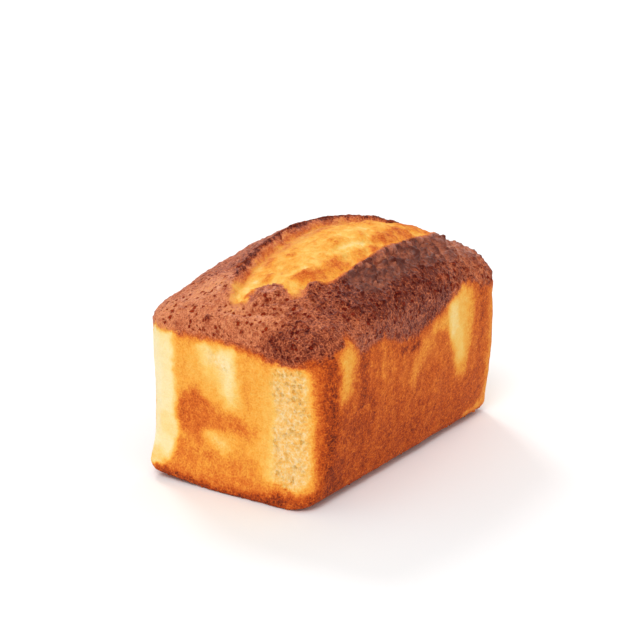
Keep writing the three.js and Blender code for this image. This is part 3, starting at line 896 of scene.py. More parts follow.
LENGTH_CELLS = 214
WIDTH_CELLS = 130
WALL_ROWS = 72
ROUNDING_ROWS = 8
BASE_RINGS = 14
HIDDEN_DEPTH = 1.9  # how far the body lies below the crust that covers it
HIDDEN_INSET = 1.3  # and how far inside its skirt
SPLIT_DEPTH = 0.4  # how far it is lowered in the split where the lips stand up
SOFT_REACH = 4.2  # how far the body still shows past a soft lip
CORNER_LIFT = 1.7  # how far the foot is lifted at the back left corner
FRONT_FOOT = 2.0  # how much deeper than high the rounding of the foot is along the front


def depth_in_split(loaf, x, y):
    """Distance in from the nearest lip, negative outside the split, and how soft that lip is."""
    along, near, far = lips_at(loaf, x)
    soft_near, soft_far = lip_softness(x)
    half = (loaf.split_end - loaf.split_start) / 2
    past_end = np.clip(np.abs(along) - 1, 0, None) * half
    inside = np.minimum(y - near, far - y)
    inside = np.where(past_end > 0, -np.hypot(past_end, inside), inside)
    return inside, np.where(y - near < far - y, soft_near, soft_far)


def perimeter(cells_x, cells_y):
    """Rows and columns of the border of a grid, counter-clockwise from its first corner."""
    bottom = [(0, i) for i in range(cells_x)]
    right = [(j, cells_x) for j in range(cells_y)]
    top = [(cells_y, i) for i in range(cells_x, 0, -1)]
    left = [(j, 0) for j in range(cells_y, 0, -1)]
    return np.array(bottom + right + top + left).T


def body_top(loaf, u, v):
    """Points of the body's top, which shows in the split and lies below the crust elsewhere. Towards
    the border it is pulled in to lie inside the skirt."""
    pull = HIDDEN_INSET * smooth(0.8, 1, np.maximum(np.abs(u), np.abs(v)))
    x, y = point_in_outline(outline_at(loaf, 1.0), u, v)
    x = x * (1 - pull * 2 / loaf.rim_length)
    y = y * (1 - pull * 2 / loaf.rim_width)
    inside, soft = depth_in_split(loaf, x, y)
    covered = 1 - smooth(-1.8 - SOFT_REACH * soft, -0.4 - SOFT_REACH * soft, inside)
    sunk = HIDDEN_DEPTH * covered + SPLIT_DEPTH * (1 - soft) * (1 - covered)
    z = loaf.rim_height + crown_height(loaf, u, v) + top_relief(loaf, x, y) - sunk
    return np.stack([x, y, z], -1)


def body_walls(loaf, u, v):
    """Rings of points down the walls and round the foot, below the border of the top. The inset is
    that of the hidden part at first, and r (1 - sin(angle)) round a foot of radius r."""
    top_height = loaf.rim_height - HIDDEN_DEPTH
    drop = np.linspace(0, 1, WALL_ROWS + 1)[1:]
    heights = blend(top_height, loaf.foot_rounding, drop)
    insets = HIDDEN_INSET * (1 - smooth(0, 0.9, top_height - heights))
    angles = np.linspace(math.pi / 2, 0, ROUNDING_ROWS + 1)[1:]
    heights = np.append(heights, loaf.foot_rounding * (1 - np.cos(angles)))[:, None]
    insets = np.append(insets, loaf.foot_rounding * (1 - np.sin(angles)))[:, None]
    front_insets = insets * np.where(heights < loaf.foot_rounding, FRONT_FOOT, 1)
    outline = outline_at(loaf, heights / loaf.rim_height, insets, front_insets)
    x, y = point_in_outline(outline, u, v)
    return np.stack([x, y, np.repeat(heights, len(u), 1)], -1)


def body_base(foot):
    """Rings of points that shrink from the foot to the middle of the base, and that middle."""
    middle = foot.mean(0) * (1, 1, 0)
    shrink = 1 - np.arange(1, BASE_RINGS) / BASE_RINGS
    return middle + (foot * (1, 1, 0) - middle) * shrink[:, None, None], middle


def crumb_body_form(loaf):
    """Points and faces of the crumb body. A grid over u and v makes the top, rings below its border
    the walls and the rounded foot, and rings that shrink to one point the base."""
    u, v = np.meshgrid(np.linspace(-1, 1, LENGTH_CELLS + 1), np.linspace(-1, 1, WIDTH_CELLS + 1))
    border = tuple(perimeter(LENGTH_CELLS, WIDTH_CELLS))
    top = body_top(loaf, u, v).reshape(-1, 3)
    walls = body_walls(loaf, u[border], v[border])
    base, middle = body_base(walls[-1])
    rings = np.vstack([walls, base])
    points = np.vstack([top, rings.reshape(-1, 3), middle[None]])
    top_grid = np.arange(len(top)).reshape(u.shape)
    ring_grid = len(top) + np.arange(rings[..., 0].size).reshape(rings.shape[:2])
    ring_grid = np.vstack([top_grid[border], ring_grid])
    quads = np.vstack([grid_quads(top_grid), grid_quads(ring_grid, wrap_columns=True)[:, ::-1]])
    return points, quads, fan(ring_grid[-1][::-1], len(points) - 1)


def lifted_foot(x, y, z):
    """How far points of the foot are lifted: most at the back left corner, dying away upwards and
    along both walls."""
    return CORNER_LIFT * smooth(-36, -49, x) * smooth(4, 28, y) * smooth(14, 0, z)


def make_crumb_body(loaf, seed):
    """The crumb body with its browning, and the surface texture pressed into it. The base stays flat,
    nothing goes below the ground, and last of all one corner of the foot is lifted."""
    points, quads, triangles = crumb_body_form(loaf)
    normals = point_normals(points, quads)
    normals[-1] = (0, 0, -1)  # the middle of the base, which no quad touches
    skin = painted(loaf, points, normals, seed)
    height, pit, painted_highlight = textured(points, skin, seed)
    height *= 1 - smooth(-0.6, -0.95, normals[:, 2])
    points = points + normals * height[:, None]
    points[:, 2] = np.maximum(points[:, 2], 0)
    points[:, 2] += lifted_foot(*points.T)
    return points, quads, triangles, painted_attributes(skin, pit, painted_highlight)


def painted_attributes(skin, pit, painted_highlight=0):
    """The values that the cake's material reads from the points of a mesh. A painted highlight makes
    places paler.
    """
    return {
        # The painted highlight lowers the browning, so high spots of the crust come out paler.
        "bake": skin.bake - painted_highlight,
        "crust": skin.crust,
        "lace": skin.lace,
        "open": skin.open,
        "pit": pit,
    }


# ---- The top crust -------------------------------------------------------------------------------

SIDE_COLUMNS = 250  # columns along each long side of the crust
END_COLUMNS = 150  # and round each end
OUTER_ROWS = 68
TORN_ROWS = 7
SKIRT_ROWS = 12
HIDDEN_ROWS = 7
LIP_RADIUS = 0.45
LIP_LEAN = 0.4  # how far the foot of a torn face leans back under its lip
SOFT_DIP = 1.3  # how far a soft lip dips into the crumb
SKIRT_PROUD = 0.10  # how far the skirt stands out from the wall at the rim
SKIRT_TUCK = 0.7  # and how much further in its lower edge lies
HIDDEN_SHRINK = 0.96  # size of the hidden underside against the dome
HIDDEN_DROP = 0.6  # how far it lies below the dome, beyond the thickness of the crust


def crust_columns():
    """For each column round the crust: its angle round the split, and u and v where it meets the
    rim. A quarter of a turn goes to each side and each end."""
    end, side = np.arange(END_COLUMNS) / END_COLUMNS, np.arange(SIDE_COLUMNS) / SIDE_COLUMNS
    angles = [-45 + 90 * end, 45 + 90 * side, 135 + 90 * end, 225 + 90 * side]
    end, side = 2 * end - 1, 2 * side - 1
    rim_u = [1 + 0 * end, -side, -1 + 0 * end, side]
    rim_v = [end, 1 + 0 * side, -end, -1 + 0 * side]
    return np.radians(np.concatenate(angles)), np.concatenate(rim_u), np.concatenate(rim_v)


def lip_loop(loaf, angles, seed):
    """X, Y and softness of the torn edge round the split: the near lip and the far lip, with a
    ragged wander where they are not soft."""
    half = (loaf.split_end - loaf.split_start) / 2
    x = (loaf.split_start + loaf.split_end) / 2 + half * np.cos(angles)
    _, near, far = lips_at(loaf, x)
    soft_near, soft_far = lip_softness(x)
    on_near = np.sin(angles) < 0
    y = np.where(on_near, near, far)
    soft = np.where(on_near, soft_near, soft_far)
    loop = np.stack([x, y, 0 * x], 1)
    wander = 0.5 * fractal(loop, 6.0, 2, seed + 61) + 0.35 * fractal(loop, 1.7, 3, seed + 62)
    return x, y + wander * (1 - soft), soft


def rim_parameters(loaf, x, y):
    """u and v of a place on the rim's plan, read off the straight lines through its middle."""
    outline = outline_at(loaf, 1.0)
    steps = np.linspace(-1, 1, 801)
    x_of_u, _ = point_in_outline(outline, steps, 0 * steps)
    _, y_of_v = point_in_outline(outline, 0 * steps, steps)
    return np.interp(x, x_of_u, steps), np.interp(y, y_of_v, steps)


def torn_face(loaf, outer):
    """Rows from the foot of the torn face up to the first row of the dome, and how much each shows.
    The last third of the way turns over the lip in a quarter circle."""
    inward = outer[0, :, :2] - outer[2, :, :2]
    inward /= np.maximum(np.linalg.norm(inward, axis=1, keepdims=True), 1e-9)
    t = np.linspace(1, 0, TORN_ROWS + 1)[:-1]
    turn = np.clip(t * 3, 0, 1) * math.pi / 2
    lean = LIP_RADIUS * np.sin(turn) - LIP_LEAN * smooth(0.3, 1, t)
    depth = LIP_RADIUS * (1 - np.cos(turn)) + loaf.crust_depth * smooth(0.2, 1, t)
    torn = np.repeat(outer[:1], TORN_ROWS, 0)
    torn[..., :2] += inward * lean[:, None, None]
    torn[..., 2] -= depth[:, None]
    return torn, smooth(1.0, 0.6, t)


def crust_skirt(loaf, rim_u, rim_v):
    """Rows down the wall from the rim, and how much each shows. They stand out from the wall at
    first and run into it as share^1.3."""
    down = np.linspace(0, 1, SKIRT_ROWS + 1)[1:, None]
    height = loaf.rim_height - loaf.skirt * down
    proud = SKIRT_PROUD - SKIRT_TUCK * down**1.3
    x, y = point_in_outline(outline_at(loaf, height / loaf.rim_height, -proud), rim_u, rim_v)
    return np.stack([x, y, np.repeat(height, len(rim_u), 1)], -1), smooth(1.0, 0.8, down[:, 0])


def crust_form(loaf, seed):
    """Points and faces of the crust, a closed ring, and how much of each point shows. Each column is
    a closed section: up the torn face, over the lip, along the dome to the rim, down the skirt and
    back underneath. At a soft lip the section dips into the crumb instead."""
    angles, rim_u, rim_v = crust_columns()
    lip_x, lip_y, soft = lip_loop(loaf, angles, seed)
    lip_u, lip_v = rim_parameters(loaf, lip_x, lip_y)
    outline = outline_at(loaf, 1.0)

    def dome(share):
        """Points on the dome at shares of the way from the lip to the rim."""
        share = np.sin(share * math.pi / 2)[:, None]
        u = blend(lip_u, rim_u, share)
        v = blend(lip_v, rim_v, share)
        x, y = point_in_outline(outline, u, v)
        z = loaf.rim_height + crown_height(loaf, u, v) + top_relief(loaf, x, y)
        return np.stack([x, y, z], -1)

    outer = dome(np.linspace(0, 1, OUTER_ROWS))
    steps = np.linalg.norm(np.diff(outer[..., :2], axis=0), axis=-1)
    travelled = np.vstack([0 * steps[:1], np.cumsum(steps, 0)])
    outer[..., 2] -= SOFT_DIP * soft * (1 - smooth(0, SOFT_REACH, travelled))
    torn, torn_shown = torn_face(loaf, outer)
    skirt, skirt_shown = crust_skirt(loaf, rim_u, rim_v)

    under = dome(np.linspace(1, 0.1, HIDDEN_ROWS))
    centre = under.mean((0, 1))
    under[..., :2] = centre[:2] + (under[..., :2] - centre[:2]) * HIDDEN_SHRINK
    under[..., 2] -= loaf.crust_depth + HIDDEN_DROP
    under[0, :, 2] = np.minimum(under[0, :, 2], skirt[-1, :, 2] + 0.5)

    section = np.concatenate([torn, outer, skirt, under])
    grid = np.arange(section[..., 0].size).reshape(section.shape[:2])
    shown = np.concatenate([torn_shown, np.ones(OUTER_ROWS), skirt_shown, np.zeros(HIDDEN_ROWS)])
    quads = grid_quads(grid, wrap_rows=True, wrap_columns=True)
    return section.reshape(-1, 3), quads, np.repeat(shown, len(angles))


def make_crust(loaf, seed):
    """The top crust with its browning, and its lumps, wrinkles and pits where it shows."""
    points, quads, shown = crust_form(loaf, seed)
    normals = point_normals(points, quads)
    skin = painted(loaf, points, normals, seed)
    height, pit, painted_highlight = textured(points, skin, seed)
    points = points + normals * (height * shown)[:, None]
    return points, quads, np.zeros((0, 3), int), painted_attributes(skin, pit, painted_highlight)


# ---- Crumbs along the foot -----------------------------------------------------------------------

CRUMB_COUNT = 110
CRUMB_RINGS = 5
CRUMB_SECTORS = 8
CRUMB_SIDES = (0.55, 0.2, 0.15, 0.1)  # shares at the front, right, left and back
CRUMB_RADII = (0.2, 0.45)
LARGER = 1.4  # how much larger the crumbs by the right corner are
CRUMB_REACH = 2.5  # height up to which they cling
SUNK_IN = 0.8  # share of its radius by which a crumb sits inside the wall
RAGGED = 0.22  # how far a crumb's surface is pushed about


def crumb_ball():
    """Points and faces of a unit ball: rings of points between two poles."""
    rise = np.radians(np.linspace(-90, 90, CRUMB_RINGS + 2)[1:-1])
    turn = np.arange(CRUMB_SECTORS) / CRUMB_SECTORS * math.tau
    rise, turn = np.meshgrid(rise, turn, indexing="ij")
    ball = np.stack([np.cos(rise) * np.cos(turn), np.cos(rise) * np.sin(turn), np.sin(rise)], -1)
    ball = np.vstack([ball.reshape(-1, 3), [[0, 0, -1], [0, 0, 1]]])
    grid = np.arange(rise.size).reshape(rise.shape)
    low, high = len(ball) - 2, len(ball) - 1
    caps = np.vstack([fan(grid[0][::-1], low), fan(grid[-1], high)])
    return ball, grid_quads(grid, wrap_columns=True), caps


def make_crumbs(loaf, seed):
    """Small ragged crumbs that cling to the rounded foot. Each is a ball, squashed, turned and pushed
    about by noise. Most lie along the front and by the right corner."""
    rng = np.random.default_rng(seed)
    ball, quads, triangles = crumb_ball()
    side = rng.choice(4, CRUMB_COUNT, p=CRUMB_SIDES)
    along = rng.uniform(-1, 1, CRUMB_COUNT)
    along = np.where(side == 0, 1 - 2 * rng.uniform(0, 1, CRUMB_COUNT) ** 1.7, along)
    u = np.choose(side, [along, 1 + 0 * along, -1 + 0 * along, along])
    v = np.choose(side, [-1 + 0 * along, along, along, 1 + 0 * along])
    radius = rng.uniform(*CRUMB_RADII, CRUMB_COUNT) * np.where((side < 2) & (u > 0.3), LARGER, 1.0)
    height = radius * 0.6 + rng.uniform(0, 1.0, CRUMB_COUNT) ** 2 * CRUMB_REACH
    inset = loaf.foot_rounding * (1 - np.sqrt(1 - np.clip(1 - height / loaf.foot_rounding, 0, 1) ** 2))
    sunk = SUNK_IN * radius
    outline = outline_at(loaf, height / loaf.rim_height, inset + sunk, FRONT_FOOT * inset + sunk)
    x, y = point_in_outline(outline, u, v)
    spin = np.linalg.qr(rng.normal(size=(CRUMB_COUNT, 3, 3)))[0]
    spin *= np.sign(np.linalg.det(spin))[:, None, None]
    stretched = ball * rng.uniform(0.6, 1.3, (CRUMB_COUNT, 1, 3)) * radius[:, None, None]
    points = np.einsum("cij,cpj->cpi", spin, stretched) + np.stack([x, y, height], 1)[:, None]
    points = points.reshape(-1, 3)
    points = points + RAGGED * np.stack([grain(points, 0.7, seed + k) for k in (91, 92, 93)], -1)
    points[:, 2] = np.maximum(points[:, 2], 0.02) + lifted_foot(*points.T)
    shift = (np.arange(CRUMB_COUNT) * len(ball))[:, None, None]
    quads = (quads + shift).reshape(-1, 4)
    triangles = (triangles + shift).reshape(-1, 3)
    bake = np.where(u > 0.5, rng.uniform(0.5, 0.8, CRUMB_COUNT), rng.uniform(0.6, 0.9, CRUMB_COUNT))
    bake = np.repeat(bake, len(ball))
    skin = SimpleNamespace(bake=bake, crust=0 * bake, lace=0 * bake, open=0 * bake)
    return points, quads, triangles, painted_attributes(skin, 0 * bake)


# ---- Materials -----------------------------------------------------------------------------------


class Wiring:
    """Shorthand for building one node tree."""

    def __init__(self, tree):
        self.tree = tree
        tree.nodes.clear()

    def add(self, kind, **values):
        """A node of a kind. A value whose name is a property sets it, and any other an input, by its
        name or by its number after an i; an output of another node given as a value is linked."""
        node = self.tree.nodes.new(kind)
        for key, value in values.items():
            if key in node.bl_rna.properties:
                setattr(node, key, value)
                continue
            numbered = key[0] == "i" and key[1:].isdigit()
            socket = node.inputs[int(key[1:]) if numbered else key.replace("_", " ")]
            if isinstance(value, bpy.types.NodeSocket):
                self.tree.links.new(value, socket)
            else:
                socket.default_value = value
        return node

    def math(self, operation, *values):
        """A Math node, as its output."""
        inputs = {f"i{k}": value for k, value in enumerate(values)}
        return self.add("ShaderNodeMath", operation=operation, **inputs).outputs[0]

    def line(self, value, slope, start):
        """slope times value, plus start."""
        return self.math("MULTIPLY_ADD", value, slope, start)

    def product(self, first, *others):
        """All values multiplied together, from the first on."""
        for other in others:
            first = self.math("MULTIPLY", first, other)
        return first

    def largest(self, first, *others):
        """The largest of all values."""
        for other in others:
            first = self.math("MAXIMUM", first, other)
        return first

    def mixed(self, share, first, second, blend_type="MIX"):
        """The first colour where share is 0, mixed with or multiplied by the second where it is 1."""
        colours = {f"i{k + 6}": colour for k, colour in enumerate((first, second))}
        node = self.add("ShaderNodeMix", data_type="RGBA", blend_type=blend_type, i0=share, **colours)
        return node.outputs[2]

    def group(self, tree, **inputs):
        """A placed node group, as its output."""
        return self.add("ShaderNodeGroup", node_tree=tree, **inputs).outputs[0]


def new_group(name, output, **inputs):
    """An empty shader node group with one output, given as name and kind, and inputs whose kinds are
    given by name. Gives its wiring and the sockets that its inputs come from."""
    tree = bpy.data.node_groups.new(name, "ShaderNodeTree")
    for socket, kind in inputs.items():
        tree.interface.new_socket(socket, in_out="INPUT", socket_type=f"NodeSocket{kind}")
    tree.interface.new_socket(output[0], in_out="OUTPUT", socket_type=f"NodeSocket{output[1]}")
    wiring = Wiring(tree)
    return wiring, wiring.add("NodeGroupInput").outputs


def ramp(wiring, share, stops):
    """A colour ramp along share from stops of place and colour, as its colour output."""
    node = wiring.add("ShaderNodeValToRGB", i0=share)
    elements = node.color_ramp.elements
    while len(elements) < len(stops):
        elements.new(0.5)
    for element, (place, colour) in zip(elements, stops):
        element.position = place
        element.color = (*colour, 1)
    return node.outputs["Color"]


def baked_tone_group(tones):
    """Colour of the cake for a share of browning, on the walls and, where Crust is 1, on top."""
    wiring, inlet = new_group("Baked tone", ("Color", "Color"), Bake="Float", Crust="Float")
    wall = ramp(wiring, inlet["Bake"], (
        (0.0, tones.cream), (0.14, tones.straw), (0.28, tones.gold), (0.42, tones.amber),
        (0.56, tones.orange), (0.70, tones.copper), (0.82, tones.russet), (1.0, tones.umber),
    ))
    crust = ramp(wiring, inlet["Bake"], (
        (0.25, tones.amber), (0.5, tones.crust_tan), (0.7, tones.crust_brown),
        (0.86, tones.crust_dark), (1.0, tones.crust_black),
    ))
    wiring.add("NodeGroupOutput", Color=wiring.mixed(inlet["Crust"], wall, crust))
    return wiring.tree


def speckle_group():
    """Fine uneven speckle from about -1 to 1, at a size in millimetres."""
    wiring, inlet = new_group("Fine speckle", ("Value", "Float"), Vector="Vector", Size="Float")
    scale = wiring.math("DIVIDE", 1.0, inlet["Size"])
    noise = wiring.add(
        "ShaderNodeTexNoise", Vector=inlet["Vector"], Scale=scale, Detail=3.0, Roughness=0.6
    )
    wiring.add("NodeGroupOutput", Value=wiring.line(noise.outputs[0], 4.0, -2.0))
    return wiring.tree


PORE_SHAKE = 1.4  # how far noise pushes the pores out of round, in millimetres
PORE_STEEPNESS = 2.7  # how soon a pore is fully deep on the way to its middle


def pore_group():
    """Mask of small uneven pores: 1 at the middle of a pore, and 0 outside. Only the share of cells
    given by Fullness holds one, 0.6 to 1.4 times as large as Radius. Spacing and Radius are in
    millimetres."""
    wiring, inlet = new_group(
        "Small pores", ("Mask", "Float"), Vector="Vector", Spacing="Float", Radius="Float",
        Fullness="Float",
    )
    scale = wiring.math("DIVIDE", 1.0, inlet["Spacing"])
    push = wiring.add("ShaderNodeTexNoise", Vector=inlet["Vector"], Scale=1.2, Detail=2.0)
    push = wiring.add("ShaderNodeVectorMath", operation="SUBTRACT", i0=push.outputs[1], i1=(0.5,) * 3)
    pushed = wiring.add(
        "ShaderNodeVectorMath", operation="MULTIPLY_ADD", i0=push.outputs[0], i1=(PORE_SHAKE,) * 3,
        i2=inlet["Vector"],
    )
    cells = wiring.add("ShaderNodeTexVoronoi", Vector=pushed.outputs[0], Scale=scale)
    distance = wiring.product(cells.outputs["Distance"], inlet["Spacing"])
    share = wiring.add("ShaderNodeSeparateColor", Color=cells.outputs["Color"])
    radius = wiring.product(wiring.line(share.outputs[1], 0.8, 0.6), inlet["Radius"])
    bowl = wiring.math("SUBTRACT", 1.0, wiring.math("DIVIDE", distance, radius))
    bowl = wiring.product(wiring.largest(bowl, 0.0), PORE_STEEPNESS)
    present = wiring.math("LESS_THAN", share.outputs[0], inlet["Fullness"])
    wiring.add("NodeGroupOutput", Mask=wiring.product(wiring.math("MINIMUM", bowl, 1.0), present))
    return wiring.tree


CELL_SIZE = 0.95  # size of the grains of a pan-baked wall, in millimetres
# Painted sheen: share of grey mixed into the colour where the crust is smooth and glossy.
PAINTED_SHEEN_SHARE = 0.6  # share of grey mixed in where the crust is smooth
# Painted shade: full hollows are tinted darker, on the walls and in the crust's pits.
WALL_HOLLOW_SHADE, CRUST_HOLLOW_SHADE = (0.79, 0.69, 0.50, 1), (0.45, 0.12, 0.03, 1)  # tints of full hollows
OPEN_TINT = (0.93, 0.89, 1.03, 1)  # tint of torn open crumb


def uneven(wiring, painted, place):
    """How much darker or paler than its browning a place is: coarse and fine speckle, and the seams
    between grains. Where the crust is smooth only a share of it is kept, which comes second."""
    speckle = speckle_group()
    crust, opened = painted.crust, painted.open
    patches = wiring.line(crust, -0.15, wiring.line(opened, 0.4, 0.6))
    patches = wiring.product(wiring.group(speckle, Vector=place, Size=1.3), patches)
    grains = wiring.line(crust, -0.25, wiring.line(opened, -0.4, 1.0))
    grains = wiring.product(wiring.group(speckle, Vector=place, Size=0.5), grains)
    cells = wiring.add(
        "ShaderNodeTexVoronoi", feature="DISTANCE_TO_EDGE", Vector=place, Scale=1 / CELL_SIZE
    )
    seams = wiring.add(
        "ShaderNodeMapRange", interpolation_type="SMOOTHSTEP", i0=cells.outputs["Distance"], i1=0.0,
        i2=0.22, i3=-0.35, i4=0.15,
    ).outputs[0]
    both = wiring.math("ADD", wiring.math("ADD", patches, grains), seams)
    laced = wiring.math("MINIMUM", wiring.product(painted.lace, 2.5), 1.0)
    calm = wiring.math("ADD", wiring.product(wiring.line(laced, 0.55, -0.55), crust), 1.0)
    return wiring.product(both, calm), calm


def hollows(wiring, painted, place, calm):
    """How deep in a hollow a place is, from 0 to 1: the painted pits, small pores of the crust that
    are wider where it is lacy, and the holes of open crumb."""
    tree = pore_group()
    width = wiring.line(painted.lace, 0.24, 0.47)
    pores = wiring.group(tree, Vector=place, Spacing=1.75, Radius=width, Fullness=0.85)
    holes = wiring.group(tree, Vector=place, Spacing=1.8, Radius=0.62, Fullness=0.6)
    pores = wiring.product(pores, painted.crust, calm)
    return wiring.largest(painted.pit, pores, wiring.product(painted.open, 0.85, holes))


def cake_material():
    """The baked surface of every piece, made once and found again by name. Its colour comes from the
    browning painted on the points, made uneven by speckle, greyed as a painted sheen where the crust
    is smooth, darkened by painted shade in hollows, and duller where the crumb is torn open. The crust
    is glossier than the crumb, and speckle and hollows give the bump."""
    name = "Baked cake"
    if name in bpy.data.materials:
        return bpy.data.materials[name]
    tones = bpy.context.scene.cake_tones
    material = bpy.data.materials.new(name)
    material.use_nodes = True
    wiring = Wiring(material.node_tree)
    place = wiring.add("ShaderNodeTexCoord").outputs["Object"]
    place = wiring.add("ShaderNodeVectorMath", operation="SCALE", i0=place, Scale=1 / MM).outputs[0]
    painted = SimpleNamespace(**{
        key: wiring.add("ShaderNodeAttribute", attribute_name=key).outputs["Fac"]
        for key in ("bake", "crust", "lace", "open", "pit")
    })
    bake, crust = painted.bake, painted.crust
    unevenness, calm = uneven(wiring, painted, place)
    hollow = hollows(wiring, painted, place, calm)
    smoothed = wiring.math("SUBTRACT", 1.0, calm)

    amount = wiring.line(crust, 0.085, wiring.line(wiring.product(bake, bake), 0.25, 0.02))
    browning = wiring.line(unevenness, wiring.line(painted.open, 0.10, amount), bake)
    colour = wiring.group(baked_tone_group(tones), Bake=browning, Crust=crust)
    # Painted sheen: grey mixed into the colour where the crust is smooth.
    colour = wiring.mixed(wiring.product(smoothed, PAINTED_SHEEN_SHARE), colour, (*tones.painted_sheen_grey, 1))
    # Painted shade: the colour is multiplied darker in hollows, a deep red on the crust.
    colour = wiring.mixed(hollow, colour, wiring.mixed(crust, WALL_HOLLOW_SHADE, CRUST_HOLLOW_SHADE), "MULTIPLY")
    colour = wiring.mixed(painted.open, colour, OPEN_TINT, "MULTIPLY")

    rough = wiring.line(hollow, 0.3, wiring.line(crust, -0.26, 0.78))
    rough = wiring.line(smoothed, -0.2, rough)
    glaze = wiring.line(smoothed, 0.34, wiring.product(crust, 0.13))
    glaze = wiring.product(glaze, wiring.math("SUBTRACT", 1.0, hollow))
    relief = wiring.line(hollow, -0.9, wiring.product(unevenness, wiring.line(crust, 0.28, 0.22)))
    bump = wiring.add("ShaderNodeBump", Strength=0.9, Distance=0.45 * MM, Height=relief)
    surface = wiring.add(
        "ShaderNodeBsdfPrincipled", Base_Color=colour, Roughness=rough, Normal=bump.outputs[0],
        Specular_IOR_Level=0.14, Coat_Weight=glaze, Coat_Roughness=0.33,
        Subsurface_Weight=0.12, Subsurface_Radius=(1.0, 0.45, 0.18), Subsurface_Scale=0.7 * MM,
    )
    wiring.add("ShaderNodeOutputMaterial", Surface=surface.outputs[0])
    return material


# ---- Operators -----------------------------------------------------------------------------------


def kept_inside(points, low, high, margin=0.5):
    """Points eased back inside a box. Room left to a face of the box that is less than the margin m
    becomes m e^(room / m - 1), which is never negative and joins on smoothly."""
    for towards in (1, -1):
        room = (high - points) if towards > 0 else (points - low)
        eased = margin * np.exp(np.minimum(room, margin) / margin - 1)
        points = points + towards * np.where(room < margin, room - eased, 0)
    return points


class CAKE_OT_loaf(bpy.types.Operator):
    """Make the crumb body, the top crust and the crumbs along the foot"""

    bl_idname = "cake.loaf"
    bl_label = "Make loaf"

    def execute(self, context):
        loaf = in_millimetres(context.scene.cake_sizes)
        seed = context.scene.cake_studio.seed
        material = cake_material()
        solid_low, solid_high = (np.array(corner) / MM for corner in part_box(NODE))
        middle = (solid_low + solid_high) / 2 * (1, 1, 0)
        widest = outline_at(loaf, loaf.foot_rounding / loaf.rim_height)
        own_middle = [(widest.left + widest.right) / 2, 0, 0]
        forms = {
            "crumb_body": make_crumb_body(loaf, seed),
            "top_crust": make_crust(loaf, seed),
            "foot_crumbs": make_crumbs(loaf, seed),
        }
        forms = {
            name: (kept_inside(points - own_middle + middle, solid_low, solid_high), *rest)
            for name, (points, *rest) in forms.items()
        }
        everything = np.vstack([form[0] for form in forms.values()])
        low, high = everything.min(0), everything.max(0)
        for name, (points, quads, triangles, attributes) in forms.items():
            points = solid_low + (points - low) * (solid_high - solid_low) / (high - low)
            piece = make_piece(name, points, quads, triangles, attributes, material)
            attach(piece, BODY)
            if name == "crumb_body":
                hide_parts(NODE)
        return {"FINISHED"}


# The sun lamps: name, where each shines from, the setting of its strength, and spread in degrees.
SUNS = (
    ("Key light", (-0.85, -0.32, 1.0), "key_light", 24),
    ("Back light", (0.55, 0.75, 0.8), "back_light", 14),
    ("Side light", (0.886, 0.09, 0.455), "side_light", 14),
)


class CAKE_OT_studio(bpy.types.Operator):
    """Make the floor, the lights and the camera"""

    bl_idname = "cake.studio"
    bl_label = "Make studio"

    def execute(self, context):
        scene = context.scene
        studio = scene.cake_studio
        make_floor()
        make_daylight(scene, studio.daylight)
        for name, direction, setting, spread in SUNS:
            make_sun(name, direction, getattr(studio, setting), spread)
        make_camera(scene, studio)
        scene.view_settings.view_transform = "Standard"
        return {"FINISHED"}


FLOOR_HALF = 6.0  # half the side of the floor, in metres
FLOOR_SURFACE = {"Base Color": (0.96, 0.96, 0.96, 1), "Roughness": 0.9, "Specular IOR Level": 0.1}
SENSOR_WIDTH = 36  # of the camera, in millimetres


def make_floor():
    """A plain pale floor under the loaf."""
    mesh = bpy.data.meshes.new("floor")
    corners = [(-1, -1), (1, -1), (1, 1), (-1, 1)]
    mesh.from_pydata([(x * FLOOR_HALF, y * FLOOR_HALF, 0) for x, y in corners], [], [(0, 1, 2, 3)])
    material = bpy.data.materials.new("Pale floor")
    material.use_nodes = True
    surface = material.node_tree.nodes["Principled BSDF"]
    for name, value in FLOOR_SURFACE.items():
        surface.inputs[name].default_value = value
    mesh.materials.append(material)
    floor = bpy.data.objects.new("floor", mesh)
    bpy.context.scene.collection.objects.link(floor)


def make_daylight(scene, strength):
    """An even white surround: it lights the loaf softly, and is plain white where it is seen."""
    world = bpy.data.worlds.new("Daylight")
    scene.world = world
    world.use_nodes = True
    wiring = Wiring(world.node_tree)
    seen = wiring.add("ShaderNodeLightPath").outputs["Is Camera Ray"]
    level = wiring.line(seen, 1 - strength, strength)
    background = wiring.add("ShaderNodeBackground", Color=(1, 1, 1, 1), Strength=level)
    wiring.add("ShaderNodeOutputWorld", Surface=background.outputs[0])


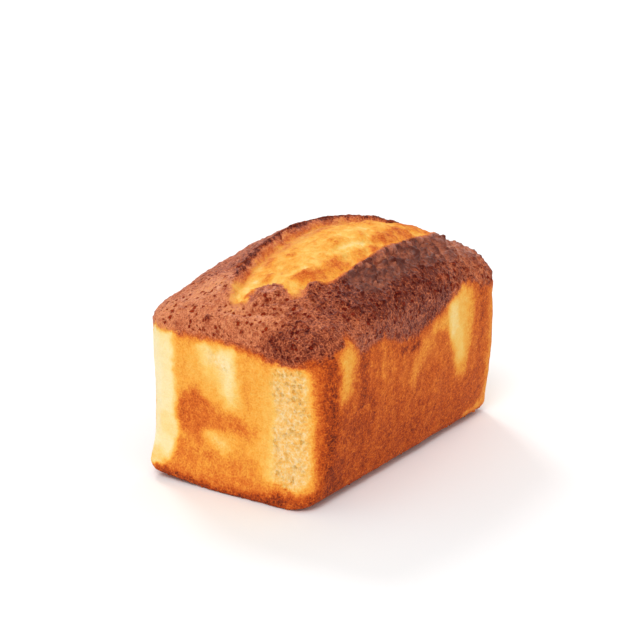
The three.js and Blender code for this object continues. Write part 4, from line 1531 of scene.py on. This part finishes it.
def make_sun(name, direction, strength, spread):
    """A soft sun lamp that shines from a direction, with its spread in degrees."""
    light = bpy.data.lights.new(name, "SUN")
    light.energy = strength
    light.angle = math.radians(spread)
    lamp = bpy.data.objects.new(name, light)
    lamp.rotation_mode = "QUATERNION"
    lamp.rotation_quaternion = Vector(direction).to_track_quat("Z", "Y")
    bpy.context.scene.collection.objects.link(lamp)


def make_camera(scene, studio):
    """The camera, set back from its aim by azimuth and elevation."""
    turn = math.radians(studio.azimuth)
    rise = math.radians(studio.elevation)
    back = Vector((
        math.sin(turn) * math.cos(rise), -math.cos(turn) * math.cos(rise), math.sin(rise)
    ))
    lens = bpy.data.cameras.new("Camera")
    lens.lens = studio.lens
    lens.sensor_width = SENSOR_WIDTH
    camera = bpy.data.objects.new("Camera", lens)
    camera.location = Vector(studio.aim) + back * studio.distance
    camera.rotation_mode = "QUATERNION"
    camera.rotation_quaternion = (-back).to_track_quat("-Z", "Y")
    scene.collection.objects.link(camera)
    scene.camera = camera


class CAKE_PT_panel(bpy.types.Panel):
    """Sizes, colours and buttons for the cake"""

    bl_idname = "CAKE_PT_panel"
    bl_label = "Lemon pound cake"
    bl_space_type = "VIEW_3D"
    bl_region_type = "UI"
    bl_category = "Cake"

    def draw(self, context):
        layout = self.layout
        for group in ("cake_sizes", "cake_tones", "cake_studio"):
            box = layout.box()
            settings = getattr(context.scene, group)
            for name in settings.bl_rna.properties.keys():
                if name not in ("rna_type", "name"):
                    box.prop(settings, name)
        layout.operator("cake.loaf")
        layout.operator("cake.studio")


CLASSES = (LoafSizes, BakingTones, StudioSettings, CAKE_OT_loaf, CAKE_OT_studio, CAKE_PT_panel)


def register():
    """Adds the classes and the settings on the scene."""
    for cls in CLASSES:
        bpy.utils.register_class(cls)
    bpy.types.Scene.cake_sizes = PointerProperty(type=LoafSizes)
    bpy.types.Scene.cake_tones = PointerProperty(type=BakingTones)
    bpy.types.Scene.cake_studio = PointerProperty(type=StudioSettings)


def unregister():
    """Takes them away again."""
    for name in ("cake_sizes", "cake_tones", "cake_studio"):
        delattr(bpy.types.Scene, name)
    for cls in reversed(CLASSES):
        bpy.utils.unregister_class(cls)


def main():
    register()
    bpy.ops.cake.loaf()
    bpy.ops.cake.studio()


if __name__ == "__main__":
    main()
